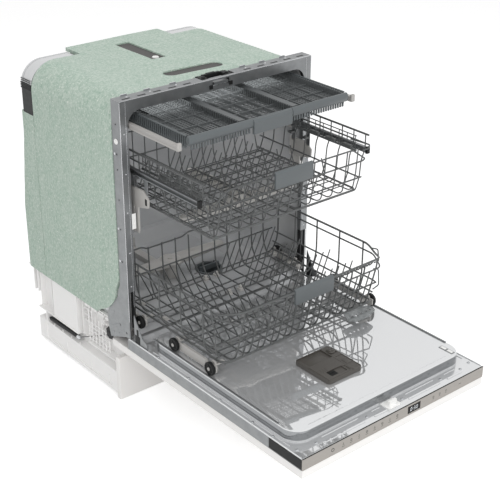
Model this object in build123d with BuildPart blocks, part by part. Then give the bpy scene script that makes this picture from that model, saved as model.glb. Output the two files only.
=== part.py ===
from build123d import *
import math
import os

os.makedirs("parts", exist_ok=True)

# Overall sizes of the machine, in mm
machine_width = 596
machine_height = 840
body_depth = 512
door_reach = 647

# The origin is under the middle of the outline, so the frame's front plane
# lies between the open door's end and the back of the body
front_y = (door_reach - body_depth) / 2
half_width = machine_width / 2
sheet = 1.5
running_gap = 0.5
seat_gap = 0.3
pin_gap = 0.05

# Steel front frame
post_face = 22
frame_flange = 36
rail_height = 28
corner_drop = 40
opening_radius = 34
post_bottom = 345
opening_half = half_width - post_face
opening_top = machine_height - rail_height
side_hole_radius = 2.5
screw_drop = 133
screw_rise = 79
spare_drops = (58, 172, 250)
spare_rise = 167
plug_drop = 101
plug_radius = 7
plug_offset = 20
lock_half = 50

# Stainless tub, deeper at the bottom than at the top
tub_inset = 14
tub_half = half_width - tub_inset
tub_top = machine_height - 18
tub_radius = 58
tub_front = 14
tub_rear = body_depth - 60
tub_rear_low = body_depth - 22
bend_top = machine_height - 200
bend_low = 420
ledge_height = 236
ledge_width = 48
skirt = 6
pan_depth = 34
pan_half = tub_half - ledge_width
pan_front = 26
pan_length = tub_rear_low - pan_front - 18
pan_taper = 30
sump_x = 110
sump_radius = 62
sump_offset = 200
hub_offset = 235
hub_radius = 20
gasket_width = 5
filter_radius = 34
salt_x = -150
salt_offset = 350
salt_radius = 30

# Insulation
felt = 10
felt_half = half_width + 2
felt_top = machine_height - 4
felt_front = 37.5
felt_rear = tub_rear - 50
felt_tab_rear = tub_rear + 22
felt_tab_half = 150
felt_bottom = 230
side_pad = 2.5
pad_front = 60
pad_bottom = 300
pad_drop = 68
rear_felt_top = bend_top + 38

# Plastic base
base_half = half_width - 6
base_shelf_front = 97
base_step_depth = body_depth - 36
anchor_depth = base_step_depth - 44
base_step_height = 142
base_wall = 3
rib_depth = 24
fin_depth = 15
shelf_height = 104
band_height = 66
foot_gap = 8
foot_inset = 57
foot_margin = 31
foot_radius = 18
foot_stem = 5
foot_travel = 30
kick_height = 127
kick_plane = 60
kick_thickness = 14

# Hinge side of the door
plate_thickness = 2.5
pulley_radius = 14
pulley_offset = 108
pulley_height = 183
spring_radius = 6
rope_radius = 1.5
side_gear_inset = 13
side_gear_x = half_width - side_gear_inset

# Door, lying open
door_half = half_width - 1
ledge_plane = 208
strip_bottom = 179.5
board_bottom = 157.5
board_top = 177.5
board_rear = 85
shell_rear = 14
liner_half = opening_half - 2
liner_rear = -58
liner_front = 57 - door_reach
rim_radius = 52
cap_length = 112
strip_thickness = 3
window_x = 52
window_width = 42
window_height = 19

# Detergent dispenser in the door
dispenser_x = -28
dispenser_y = -440
dispenser_width = 110
dispenser_length = 120
deck_height = 243.5
lid_thickness = 4
lid_travel = 42

# Racks
wire = 4
axle_radius = 4
lower_front = -350
lower_rear = 91
lower_half = opening_half - 14
lower_spread = 24
lower_floor_half = lower_half - lower_spread
lower_floor = 264
lower_top = 412
wheel_radius = 17
wheel_width = 9
wheel_places = (-287, -145, -3, 86)
wheel_track = opening_half - 9
tine_top = 355
tine_lean = 36
tine_rows = (50, -52)
fixed_rows = (-150, -235)
tine_inner = 25
tine_outer = lower_floor_half - 23
middle_front = -268
middle_rear = 132
middle_half = opening_half - 21
middle_spread = 29
middle_floor_half = middle_half - middle_spread
middle_top = machine_height - 132
middle_height = 146
middle_floor = middle_top - middle_height
middle_travel = 305
rail_height_middle = middle_top - 46
rail_inner = opening_half - 17.5
rail_front = -253
rail_rear = 140
roller_radius = 5.2
roller_offset = 62
tray_front = -195
tray_rear = 212
tray_half = opening_half - 31
tray_height = 28
tray_top = opening_top - 12
tray_bottom = tray_top - tray_height
insert_half = 81
runner_inner = opening_half - 14
runner_outer = opening_half - 2.4
runner_low = tray_top - 30.2
runner_high = tray_top - 11.3
handle_half = 59

# Sides of the small and the large round forms that need no bearing surface
few_sides = 12
many_sides = 20


# A rectangular block between two corners, its depth measured from the frame's front
def block(x0, x1, y0, y1, z0, z1, mode=Mode.ADD):
    with Locations(((x0 + x1) / 2, front_y + (y0 + y1) / 2, (z0 + z1) / 2)):
        Box(abs(x1 - x0), abs(y1 - y0), abs(z1 - z0), mode=mode)


# The vertical plane across the machine, at a distance behind the frame's front
def cross_plane(offset):
    return Plane.XZ.offset(-(front_y + offset))


# A side profile in depth and height, its depth measured from the frame's front
def side_profile(*points):
    Polygon(*[(front_y + y, z) for y, z in points], align=None)


# An arch: square below, with both upper corners rounded
def arch(half, low, high, radius):
    with BuildSketch() as shape:
        with Locations((0, (low + high) / 2)):
            Rectangle(2 * half, high - low)
        fillet(shape.vertices().group_by(Axis.Y)[-1], radius=radius)
    return shape.sketch


# Evenly spaced places from one to another
def spaced(first, last, count):
    return [first + (last - first) * n / (count - 1) for n in range(count)]


# A welded wire panel between two corners of a plane, extruded by one wire
def panel(plane, low, high, uprights, crosses):
    with BuildPart() as wires:
        with BuildSketch(plane):
            for place in uprights:
                with Locations((place, (low[1] + high[1]) / 2)):
                    Rectangle(wire, high[1] - low[1])
            for place in crosses:
                with Locations(((low[0] + high[0]) / 2, place)):
                    Rectangle(high[0] - low[0], wire)
        extrude(amount=-wire)
    return wires.part


# The plane of a rack's side wall, leaning outwards; its normal points outwards
def side_plane(side, x_low, z_low, x_high, z_high):
    rise = Vector(side * (x_high - x_low), 0, z_high - z_low).normalized()
    along = Vector(0, side, 0)
    return Plane(origin=(side * x_low, front_y, z_low), x_dir=along, z_dir=along.cross(rise))


# The plane of a rack's front or rear wall; its normal points away from the rack
def end_plane(side, y_low, z_low, y_high, z_high):
    rise = Vector(0, y_high - y_low, z_high - z_low).normalized()
    along = Vector(-side, 0, 0)
    return Plane(origin=(0, front_y + y_low, z_low), x_dir=along, z_dir=along.cross(rise))


# Holes through the outer flanges of the frame: two round ones for the cabinet's screws
# and a row of smaller spare ones
screw_heights = (machine_height - screw_drop, post_bottom + screw_rise)
spare_heights = [machine_height - drop for drop in spare_drops] + [post_bottom + spare_rise]


def side_holes(side):
    with BuildPart() as holes:
        with BuildSketch(Plane.YZ.offset(side * (half_width + sheet))):
            for z in screw_heights:
                with Locations((front_y + plug_offset, z)):
                    Circle(side_hole_radius)
            for z in spare_heights:
                with Locations((front_y + plug_offset, z)):
                    RegularPolygon(side_hole_radius - 0.3, few_sides)
        extrude(amount=-side * 4 * sheet)
    return holes.part


# Front posts: folded channels whose outer flange carries the fixing holes
with BuildPart() as front_posts:
    for side in (-1, 1):
        block(side * opening_half, side * half_width, 0, sheet, post_bottom, opening_top - corner_drop)
        block(
            side * (half_width - sheet),
            side * half_width,
            0,
            frame_flange,
            post_bottom,
            opening_top - corner_drop,
        )
        block(
            side * opening_half,
            side * (opening_half + sheet),
            0,
            tub_front,
            post_bottom,
            opening_top - corner_drop,
        )
        add(side_holes(side), mode=Mode.SUBTRACT)
front_posts.part.label = "front_posts"
export_step(front_posts.part, "parts/front_posts.step")

# Top rail: rounded corners of the opening, a top flange, a rear lip and the lock's cut-out
with BuildPart() as top_rail:
    with BuildSketch(cross_plane(sheet)):
        with Locations((0, machine_height - (rail_height + corner_drop) / 2)):
            Rectangle(machine_width, rail_height + corner_drop)
        add(arch(opening_half, post_bottom, opening_top, opening_radius), mode=Mode.SUBTRACT)
    extrude(amount=sheet)
    block(-half_width, half_width, 0, frame_flange, machine_height - sheet, machine_height)
    block(-half_width, half_width, frame_flange - sheet, frame_flange, machine_height - 10, machine_height)
    for side in (-1, 1):
        block(
            side * (half_width - sheet),
            side * half_width,
            0,
            frame_flange,
            opening_top - corner_drop,
            machine_height,
        )
        add(side_holes(side), mode=Mode.SUBTRACT)
    block(-lock_half, lock_half, 10, frame_flange + 1, tub_top, machine_height + 1, Mode.SUBTRACT)
    block(-26, 26, -1, 12, tub_top, machine_height - 4, Mode.SUBTRACT)
top_rail.part.label = "top_rail"
export_step(top_rail.part, "parts/top_rail.step")

# White caps over fixing holes of the posts
with BuildPart() as trim_plugs:
    for side in (-1, 1):
        with BuildSketch(Plane.YZ.offset(side * half_width)):
            with Locations((front_y + plug_offset, machine_height - plug_drop)):
                RegularPolygon(plug_radius, many_sides)
        extrude(amount=side * 1.8)
trim_plugs.part.label = "trim_plugs"
export_step(trim_plugs.part, "parts/trim_plugs.step")

# Tub wrap: one stainless sheet folded over both sides and the top
with BuildPart() as tub_wrap:
    with BuildSketch(cross_plane(tub_rear)):
        add(arch(tub_half, ledge_height - skirt, tub_top, tub_radius))
        add(
            arch(tub_half - sheet, ledge_height - 2 * skirt, tub_top - sheet, tub_radius - sheet),
            mode=Mode.SUBTRACT,
        )
    extrude(amount=tub_rear - tub_front)
    for side in (-1, 1):
        with BuildSketch(Plane.YZ.offset(side * tub_half)):
            side_profile(
                (tub_rear, bend_top),
                (tub_rear_low, bend_low),
                (tub_rear_low, ledge_height - skirt),
                (tub_rear, ledge_height - skirt),
            )
        extrude(amount=-side * sheet)
tub_wrap.part.label = "tub_wrap"
export_step(tub_wrap.part, "parts/tub_wrap.step")

# Rear wall of the tub, leaning back towards the bottom, with two pressed bosses
with BuildPart() as tub_back:
    with BuildSketch(Plane.YZ.offset(-tub_half)):
        side_profile(
            (tub_rear, tub_top),
            (tub_rear, bend_top),
            (tub_rear_low, bend_low),
            (tub_rear_low, ledge_height - skirt),
            (tub_rear_low + sheet, ledge_height - skirt),
            (tub_rear_low + sheet, bend_low),
            (tub_rear + sheet, bend_top),
            (tub_rear + sheet, tub_top),
        )
    extrude(amount=2 * tub_half)
    with BuildSketch(cross_plane(tub_rear_low + 2 * sheet)):
        add(arch(tub_half, ledge_height - skirt, tub_top, tub_radius))
    extrude(amount=tub_rear_low - tub_rear + 4 * sheet, mode=Mode.INTERSECT)
    with BuildSketch(cross_plane(tub_rear)):
        for side in (-1, 1):
            with Locations((side * 145, (bend_top + tub_top) / 2)):
                Rectangle(190, 110)
    extrude(amount=2 * sheet, taper=30)
tub_back.part.label = "tub_back"
export_step(tub_back.part, "parts/tub_back.step")

# Tub floor: wheel ledges along both sides round a tapered pan with the sump and salt holes
sump_y = front_y + sump_offset
hub_y = front_y + hub_offset
salt_y = front_y + salt_offset
pan_y = front_y + pan_front + pan_length / 2
pan_bottom = ledge_height - pan_depth
pan_corner = 14
sill_front = tub_front - 10
with BuildPart() as tub_floor:
    block(
        -tub_half + sheet,
        tub_half - sheet,
        tub_front,
        tub_rear_low,
        ledge_height - sheet,
        ledge_height,
    )
    block(-opening_half, opening_half, sill_front, tub_front, ledge_height - sheet, ledge_height)
    block(-opening_half, opening_half, sill_front, sill_front + sheet, ledge_plane + 4, ledge_height)
    for spread, low, mode in ((sheet, pan_bottom - sheet, Mode.ADD), (0, pan_bottom, Mode.SUBTRACT)):
        with BuildSketch(Plane.XY.offset(low)):
            with Locations((0, pan_y)):
                RectangleRounded(
                    2 * (pan_half - pan_taper + spread),
                    pan_length - 2 * pan_taper + 2 * spread,
                    pan_corner,
                )
        extrude(amount=pan_depth, taper=-math.degrees(math.atan2(pan_taper, pan_depth)), mode=mode)
    with BuildSketch(Plane.XY.offset(pan_bottom - 2 * sheet)):
        with Locations((sump_x, sump_y)):
            RegularPolygon(sump_radius + running_gap, many_sides)
        with Locations((salt_x, salt_y)):
            RegularPolygon(salt_radius + running_gap, many_sides)
    extrude(amount=4 * sheet, mode=Mode.SUBTRACT)
tub_floor.part.label = "tub_floor"
export_step(tub_floor.part, "parts/tub_floor.step")

# Rubber door seal held between the posts and the tub wall
with BuildPart() as door_gasket:
    with BuildSketch(cross_plane(tub_front - seat_gap)):
        add(
            arch(
                tub_half - sheet - running_gap,
                ledge_height + seat_gap,
                opening_top + gasket_width,
                opening_radius + gasket_width,
            )
        )
        add(
            arch(opening_half + sheet, ledge_height - skirt, opening_top, opening_radius),
            mode=Mode.SUBTRACT,
        )
    extrude(amount=tub_front - sheet - 2 * seat_gap)
door_gasket.part.label = "door_gasket"
export_step(door_gasket.part, "parts/door_gasket.step")

# Bitumen sound pads stuck to the top and the sides of the tub
top_pad = felt_top - felt - tub_top - seat_gap
with BuildPart() as bitumen_pads:
    block(-170, 170, lock_half, tub_rear, tub_top, tub_top + top_pad)
    for side in (-1, 1):
        block(
            side * tub_half,
            side * (tub_half + side_pad),
            pad_front,
            tub_rear - 18,
            pad_bottom,
            tub_top - pad_drop,
        )
bitumen_pads.part.label = "bitumen_pads"
export_step(bitumen_pads.part, "parts/bitumen_pads.step")

# Felt blanket over the top and both sides, with its cut-outs and a rear tab
with BuildPart() as felt_blanket:
    with BuildSketch(cross_plane(felt_rear)):
        add(arch(felt_half, felt_bottom, felt_top, tub_radius + felt + side_pad))
        add(
            arch(felt_half - felt, felt_bottom - 1, felt_top - felt, tub_radius + side_pad),
            mode=Mode.SUBTRACT,
        )
    extrude(amount=felt_rear - felt_front)
    block(-felt_tab_half, felt_tab_half, felt_rear, felt_tab_rear, felt_top - felt, felt_top)
    with BuildSketch(Plane.XY.offset(felt_top - felt - 1)):
        with Locations((-24, front_y + 303)):
            RectangleRounded(54, 158, 10)
        with Locations((-8, front_y + 76)):
            SlotOverall(172, 34)
        with Locations((0, front_y + felt_front)):
            Rectangle(2 * lock_half, 20)
    extrude(amount=felt + 2, mode=Mode.SUBTRACT)
    with BuildSketch(Plane.YZ.offset(-2 * felt_half)):
        side_profile((30, 364), (38, 364), (53, 336), (57, 313), (93, 278), (107, 254), (107, 220), (30, 220))
    extrude(amount=4 * felt_half, mode=Mode.SUBTRACT)
felt_blanket.part.label = "felt_blanket"
export_step(felt_blanket.part, "parts/felt_blanket.step")

# Rear felt: a panel that follows the rear wall, with a wing round each side
rear_gap = sheet + seat_gap
wing_front = felt_rear + 1
with BuildPart() as rear_felt:
    with BuildSketch(Plane.YZ.offset(-felt_half)):
        side_profile(
            (wing_front, rear_felt_top),
            (wing_front, felt_bottom),
            (tub_rear_low + rear_gap + felt, felt_bottom),
            (tub_rear_low + rear_gap + felt, bend_low),
            (tub_rear + rear_gap + felt, bend_top),
            (tub_rear + rear_gap + felt, rear_felt_top),
        )
    extrude(amount=2 * felt_half)
    with BuildSketch(Plane.YZ.offset(-felt_half + felt)):
        side_profile(
            (wing_front - 1, rear_felt_top + 1),
            (wing_front - 1, felt_bottom - 1),
            (tub_rear_low + rear_gap, felt_bottom - 1),
            (tub_rear_low + rear_gap, bend_low),
            (tub_rear + rear_gap, bend_top),
            (tub_rear + rear_gap, rear_felt_top + 1),
        )
    extrude(amount=2 * (felt_half - felt), mode=Mode.SUBTRACT)
rear_felt.part.label = "rear_felt"
export_step(rear_felt.part, "parts/rear_felt.step")

# Moulded base: a drip pan whose outer sides carry a shelf, fins and a lower band
base_inner = base_half - rib_depth
base_top = felt_bottom - seat_gap
base_front = kick_plane + kick_thickness + seat_gap
foot_x = base_half - foot_inset
foot_depths = (base_shelf_front + 28, base_step_depth - foot_margin)
foot_places = [(x, y) for x in (-foot_x, foot_x) for y in foot_depths]
with BuildPart() as base_tray:
    with BuildSketch(Plane.YZ.offset(-base_inner)):
        side_profile(
            (base_front, foot_gap),
            (base_front, kick_height + 4),
            (base_shelf_front, kick_height + 20),
            (base_shelf_front, base_top),
            (body_depth, base_top),
            (body_depth, base_step_height),
            (base_step_depth, base_step_height - 30),
            (base_step_depth, foot_gap),
        )
    extrude(amount=2 * base_inner)
    pan_side = base_inner - base_wall
    pan_low = foot_gap + base_wall
    block(
        -pan_side,
        pan_side,
        base_shelf_front + base_wall,
        base_step_depth - base_wall,
        pan_low,
        base_top + 1,
        Mode.SUBTRACT,
    )
    block(
        -pan_side,
        pan_side,
        base_front + base_wall,
        base_shelf_front + 2 * base_wall,
        pan_low,
        kick_height,
        Mode.SUBTRACT,
    )
    block(
        -pan_side,
        pan_side,
        base_step_depth - 2 * base_wall,
        body_depth - base_wall,
        base_step_height + base_wall,
        base_top + 1,
        Mode.SUBTRACT,
    )
    block(
        -pan_side,
        pan_side,
        base_shelf_front - 1,
        base_shelf_front + base_wall + 1,
        pan_bottom - 2 * base_wall,
        base_top + 1,
        Mode.SUBTRACT,
    )
    for side in (-1, 1):
        inner = side * base_inner
        outer = side * base_half
        block(inner, outer, base_shelf_front, body_depth, base_top - base_wall, base_top)
        block(inner, outer, base_front, base_step_depth, shelf_height, shelf_height + base_wall)
        block(inner, outer, base_front, base_step_depth, foot_gap, foot_gap + band_height)
        for fin in (150, 205, 250, anchor_depth - 22, base_step_depth - 6):
            block(
                inner,
                side * (base_inner + fin_depth),
                fin,
                fin + base_wall,
                shelf_height,
                base_top,
            )
        block(inner, side * (base_half - base_wall), 270, anchor_depth - 36, shelf_height, base_top)
        block(
            side * (base_half - base_wall),
            side * (base_half + 1),
            110,
            anchor_depth + 8,
            foot_gap + 10,
            foot_gap + band_height - 8,
            Mode.SUBTRACT,
        )
        block(
            inner,
            outer,
            anchor_depth,
            anchor_depth + 2 * base_wall,
            foot_gap + band_height,
            shelf_height,
        )
        block(
            side * (side_gear_x - spring_radius),
            side * (base_half + 1),
            215,
            268,
            shelf_height - 1,
            shelf_height + base_wall + 1,
            Mode.SUBTRACT,
        )
    with BuildSketch(Plane.XY.offset(foot_gap - base_wall)):
        for x, y in foot_places:
            with Locations((x, front_y + y)):
                RegularPolygon(foot_stem + running_gap, few_sides)
    extrude(amount=4 * base_wall, mode=Mode.SUBTRACT)
base_tray.part.label = "base_tray"
export_step(base_tray.part, "parts/base_tray.step")

# Kick board across the front, with eased front edges
with BuildPart() as kick_plate:
    block(-half_width, half_width, kick_plane, kick_plane + kick_thickness, running_gap, kick_height)
    fillet(kick_plate.edges().filter_by(Axis.Z).group_by(Axis.Y)[0], radius=2)
kick_plate.part.label = "kick_plate"
export_step(kick_plate.part, "parts/kick_plate.step")

# Levelling feet: hexagonal pads on threaded stems that pass the base's floor
with BuildPart() as levelling_feet:
    for x, y in foot_places:
        with BuildSketch(Plane.XY):
            with Locations((x, front_y + y)):
                RegularPolygon(foot_radius, 6)
        extrude(amount=foot_gap - seat_gap)
        with BuildSketch(Plane.XY.offset(foot_gap - 1)):
            with Locations((x, front_y + y)):
                RegularPolygon(foot_stem, few_sides)
        extrude(amount=2 * foot_travel + 2)
levelling_feet.part.label = "levelling_feet"
export_step(levelling_feet.part, "parts/levelling_feet.step")

# Sump cup under the pan with the two pumps that hang on it
sump_top = pan_bottom - sheet
sump_wall = 3
with BuildPart() as sump_cup:
    for inset, low, mode in ((0, 114, Mode.ADD), (sump_wall, 114 + sump_wall, Mode.SUBTRACT)):
        with BuildSketch(Plane.XY.offset(low)):
            with Locations((sump_x, sump_y)):
                RegularPolygon(sump_radius - 12 - inset, many_sides)
        with BuildSketch(Plane.XY.offset(sump_top)):
            with Locations((sump_x, sump_y)):
                RegularPolygon(sump_radius - 1 - inset, many_sides)
        loft(mode=mode)
    with BuildSketch(Plane.XY.offset(sump_top - 5)):
        with Locations((sump_x, sump_y)):
            RegularPolygon(sump_radius + 14, many_sides)
            RegularPolygon(sump_radius - 1 - sump_wall, many_sides, mode=Mode.SUBTRACT)
    extrude(amount=5)
with BuildPart() as circulation_pump:
    with BuildSketch(Plane.YZ.offset(10)):
        with Locations((front_y + 318, pan_low + 58)):
            RegularPolygon(46, many_sides)
    extrude(amount=60)
    with BuildSketch(Plane.YZ.offset(70)):
        with Locations((front_y + 318, pan_low + 58)):
            RegularPolygon(36, many_sides)
    extrude(amount=90)
    block(30, 50, 270, 366, pan_low, pan_low + 30)
with BuildPart() as drain_pump:
    with BuildSketch(Plane.YZ.offset(120)):
        with Locations((front_y + 170, pan_low + 40)):
            RegularPolygon(28, many_sides)
    extrude(amount=80)
    block(150, 170, 150, 190, pan_low, pan_low + 30)
sump_pumps = Compound(
    label="sump_unit",
    children=[sump_cup.part, circulation_pump.part, drain_pump.part],
)
export_step(sump_pumps, "parts/sump_unit.step")

# Filter plate: a stainless sieve with a ring of slots round the micro filter
with BuildPart() as filter_plate:
    with BuildSketch(Plane.XY.offset(sump_top)):
        with Locations((sump_x, sump_y)):
            RegularPolygon(sump_radius, many_sides)
            RegularPolygon(filter_radius + 2 * running_gap, many_sides, mode=Mode.SUBTRACT)
            with PolarLocations((sump_radius + filter_radius) / 2, 10):
                Rectangle(15, 4, mode=Mode.SUBTRACT)
    extrude(amount=2)
filter_plate.part.label = "filter_plate"
export_step(filter_plate.part, "parts/filter_plate.step")

# Micro filter: an open cup with a grip bar that turns a quarter turn to unlock
filter_flange = sump_top + 2 + seat_gap
with BuildPart() as filter_cup:
    with BuildSketch(Plane.XY.offset(140)):
        with Locations((sump_x, sump_y)):
            Circle(filter_radius)
            Circle(filter_radius - 2, mode=Mode.SUBTRACT)
    extrude(amount=filter_flange - 140)
    with BuildSketch(Plane.XY.offset(filter_flange)):
        with Locations((sump_x, sump_y)):
            RegularPolygon(filter_radius + 6, many_sides)
            Circle(filter_radius - 2, mode=Mode.SUBTRACT)
    extrude(amount=3)
    with BuildSketch(Plane.XY.offset(filter_flange)):
        with Locations((sump_x, sump_y)):
            Rectangle(2 * filter_radius, 5)
    extrude(amount=14)
filter_cup.part.label = "filter_cup"
export_step(filter_cup.part, "parts/filter_cup.step")

# Water softener in the base, with its salt neck through the pan
softener_top = 150
with BuildPart() as water_softener:
    with BuildSketch(Plane.XY.offset(pan_low)):
        with Locations((salt_x, salt_y - 20)):
            RectangleRounded(150, 150, 14)
    extrude(amount=softener_top - pan_low)
    with BuildSketch(Plane.XY.offset(softener_top)):
        with Locations((salt_x, salt_y)):
            RegularPolygon(salt_radius, many_sides)
            RegularPolygon(salt_radius - 4, many_sides, mode=Mode.SUBTRACT)
    extrude(amount=pan_bottom + 2 - softener_top)
water_softener.part.label = "water_softener"
export_step(water_softener.part, "parts/water_softener.step")

# Salt cap with a grip bar
with BuildPart() as salt_cap:
    with BuildSketch(Plane.XY.offset(pan_bottom + 2 + seat_gap)):
        with Locations((salt_x, salt_y)):
            Circle(salt_radius + 3)
    extrude(amount=7)
    with BuildSketch(Plane.XY.offset(pan_bottom + 9)):
        with Locations((salt_x, salt_y)):
            Rectangle(50, 9)
    extrude(amount=9)
salt_cap.part.label = "salt_cap"
export_step(salt_cap.part, "parts/salt_cap.step")

# Spray feed: lower hub, a flat duct up the rear wall and along the ceiling, ceiling nozzle
arm_height = 18
arm_bore = 8
arm_reach = 188
duct = 10
duct_half = 12
lower_arm_z = ledge_height + 4
duct_rear = tub_rear_low - seat_gap
duct_rear_top = tub_rear - seat_gap
riser_rear = pan_front + pan_length - pan_taper - 6
duct_top = tub_top - sheet - 1
with BuildPart() as spray_feed:
    with BuildSketch(Plane.XY.offset(pan_bottom)):
        with Locations((0, hub_y)):
            RegularPolygon(hub_radius, many_sides)
    extrude(amount=lower_arm_z - running_gap - pan_bottom)
    with BuildSketch(Plane.XY.offset(lower_arm_z - running_gap)):
        with Locations((0, hub_y)):
            Circle(arm_bore)
    extrude(amount=arm_height + 2)
    block(-duct_half, duct_half, hub_offset, riser_rear, pan_bottom, pan_bottom + 16)
    block(-duct_half, duct_half, riser_rear - 8, riser_rear, pan_bottom, ledge_height + 1 + duct)
    block(-duct_half, duct_half, riser_rear - 8, duct_rear, ledge_height + 1, ledge_height + 1 + duct)
    with BuildSketch(Plane.YZ.offset(-duct_half)):
        side_profile(
            (duct_rear - duct, ledge_height + 1),
            (duct_rear, ledge_height + 1),
            (duct_rear, bend_low),
            (duct_rear_top, bend_top),
            (duct_rear_top, duct_top),
            (hub_offset - 20, duct_top),
            (hub_offset - 20, duct_top - duct),
            (duct_rear_top - duct, duct_top - duct),
            (duct_rear_top - duct, bend_top - 2),
            (duct_rear - duct, bend_low - 2),
        )
    extrude(amount=2 * duct_half)
    with BuildSketch(Plane.XY.offset(duct_top - duct - 5)):
        with Locations((0, hub_y)):
            RegularPolygon(38, many_sides)
    extrude(amount=5)
spray_feed.part.label = "spray_feed"
export_step(spray_feed.part, "parts/spray_feed.step")


# A spray arm: a blade tapering from its hub, with nozzle holes and a bore
def spray_arm(y, z):
    with BuildPart() as arm:
        with BuildSketch(Plane.XY.offset(z)):
            with Locations((0, front_y + y)):
                Polygon(
                    (-arm_reach, -13),
                    (0, -26),
                    (arm_reach, -13),
                    (arm_reach, 13),
                    (0, 26),
                    (-arm_reach, 13),
                    align=None,
                )
                Circle(34)
        extrude(amount=arm_height)
        with BuildSketch(Plane.XY.offset(z + arm_height - 3)):
            with Locations((0, front_y + y)):
                with GridLocations(arm_reach / 2, 0, 4, 1):
                    Rectangle(6, 3)
        extrude(amount=3, mode=Mode.SUBTRACT)
        with Locations((0, front_y + y, z + arm_height / 2)):
            Cylinder(arm_bore + pin_gap, arm_height + 2, mode=Mode.SUBTRACT)
    return arm.part


lower_spray_arm = spray_arm(hub_offset, lower_arm_z)
lower_spray_arm.label = "lower_spray_arm"
export_step(lower_spray_arm, "parts/lower_spray_arm.step")

# Hinge plates on the frame, beside the open door
with BuildPart() as hinge_plates:
    for side in (-1, 1):
        with BuildSketch(Plane.YZ.offset(side * (half_width - sheet))):
            side_profile(
                (2, 358),
                (35, 358),
                (48, 334),
                (53, 311),
                (89, 274),
                (103, 251),
                (102, 214),
                (92, 181),
                (37, 203),
                (20, 210),
                (2, 210),
            )
        extrude(amount=-side * plate_thickness)
        with BuildSketch(Plane.YZ.offset(side * (half_width + sheet))):
            with Locations((front_y + 18, 222)):
                RegularPolygon(3, few_sides)
        extrude(amount=-side * 3 * plate_thickness, mode=Mode.SUBTRACT)
hinge_plates.part.label = "hinge_plates"
export_step(hinge_plates.part, "parts/hinge_plates.step")

# Side guards that stand on the door's ledge next to the hinge plates
with BuildPart() as door_guards:
    for side in (-1, 1):
        with BuildSketch(Plane.YZ.offset(side * (half_width - 5))):
            side_profile((-12, 285), (-44, 234), (-66, 223), (-66, ledge_plane), (-12, ledge_plane))
        extrude(amount=-side * 2)
door_guards.part.label = "door_guards"
export_step(door_guards.part, "parts/door_guards.step")

# Rope pulleys on pins in the base's sides
with BuildPart() as rope_pulleys:
    for side in (-1, 1):
        with BuildSketch(Plane.YZ.offset(side * base_inner)):
            with Locations((front_y + pulley_offset, pulley_height)):
                RegularPolygon(4, few_sides)
        extrude(amount=side * rib_depth)
        with BuildSketch(Plane.YZ.offset(side * (side_gear_x - 4))):
            with Locations((front_y + pulley_offset, pulley_height)):
                RegularPolygon(pulley_radius, many_sides)
        extrude(amount=side * 8)
rope_pulleys.part.label = "rope_pulleys"
export_step(rope_pulleys.part, "parts/rope_pulleys.step")

# Counterbalance springs of the door, each with its rope up to the pulley
spring_rear = (anchor_depth - 2, 84)
spring_front = (276, 90)
rope_top = (pulley_offset + 13, pulley_height - pulley_radius - 5)
with BuildPart() as door_springs:
    for side in (-1, 1):
        for start, end, radius in (
            (spring_rear, spring_front, spring_radius),
            (spring_front, rope_top, rope_radius),
        ):
            run = Vector(0, end[0] - start[0], end[1] - start[1])
            place = (side * side_gear_x, front_y + start[0], start[1])
            with BuildSketch(Plane(origin=place, z_dir=run)):
                RegularPolygon(radius, few_sides)
            extrude(amount=run.length)
door_springs.part.label = "door_springs"
export_step(door_springs.part, "parts/door_springs.step")

# Door lock in the top rail: two cheeks, a bridge behind them and the pivot pin
lock_pivot_y = 27
lock_pivot_z = machine_height - 10
with BuildPart() as door_lock:
    for side in (-1, 1):
        block(side * 26, side * 46, 13, 44, tub_top + seat_gap, machine_height - 2)
    block(-26, 26, 37, 44, tub_top + seat_gap, machine_height - 2)
    with BuildSketch(Plane.YZ.offset(-26)):
        with Locations((front_y + lock_pivot_y, lock_pivot_z)):
            Circle(2)
    extrude(amount=52)
door_lock.part.label = "door_lock"
export_step(door_lock.part, "parts/door_lock.step")

# Lock hook: a plate with a barrel round the pivot pin and a turned-up nose
with BuildPart() as lock_hook:
    block(-22, 22, -1, lock_pivot_y, lock_pivot_z - 1.5, lock_pivot_z + 1.5)
    block(-22, 22, -1, 1, lock_pivot_z - 5, lock_pivot_z)
    with BuildSketch(Plane.YZ.offset(-22)):
        with Locations((front_y + lock_pivot_y, lock_pivot_z)):
            Circle(4.5)
    extrude(amount=44)
    with BuildSketch(Plane.YZ.offset(-22)):
        with Locations((front_y + lock_pivot_y, lock_pivot_z)):
            Circle(2 + pin_gap)
    extrude(amount=44, mode=Mode.SUBTRACT)
lock_hook.part.label = "lock_hook"
export_step(lock_hook.part, "parts/lock_hook.step")

# Brackets on the tub walls, each with the pin of a roller for the middle rack
bracket_inner = opening_half + running_gap
roller_pin = 2.5
with BuildPart() as roller_brackets:
    for side in (-1, 1):
        block(
            side * bracket_inner,
            side * (tub_half - sheet),
            roller_offset - 30,
            roller_offset + 30,
            rail_height_middle - 28,
            rail_height_middle + 28,
        )
        with BuildSketch(Plane.YZ.offset(side * bracket_inner)):
            with Locations((front_y + roller_offset, rail_height_middle)):
                RegularPolygon(roller_pin, few_sides)
        extrude(amount=-side * (bracket_inner - rail_inner - 2 * sheet))
roller_brackets.part.label = "roller_brackets"
export_step(roller_brackets.part, "parts/roller_brackets.step")

# The two rollers, on one line across the machine
with BuildPart() as wall_rollers:
    for side in (-1, 1):
        with BuildSketch(Plane.YZ.offset(side * (rail_inner + 2 * sheet))):
            with Locations((front_y + roller_offset, rail_height_middle)):
                RegularPolygon(roller_radius, many_sides)
                Circle(roller_pin + pin_gap, mode=Mode.SUBTRACT)
        extrude(amount=side * 5.5)
wall_rollers.part.label = "wall_rollers"
export_step(wall_rollers.part, "parts/wall_rollers.step")

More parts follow.
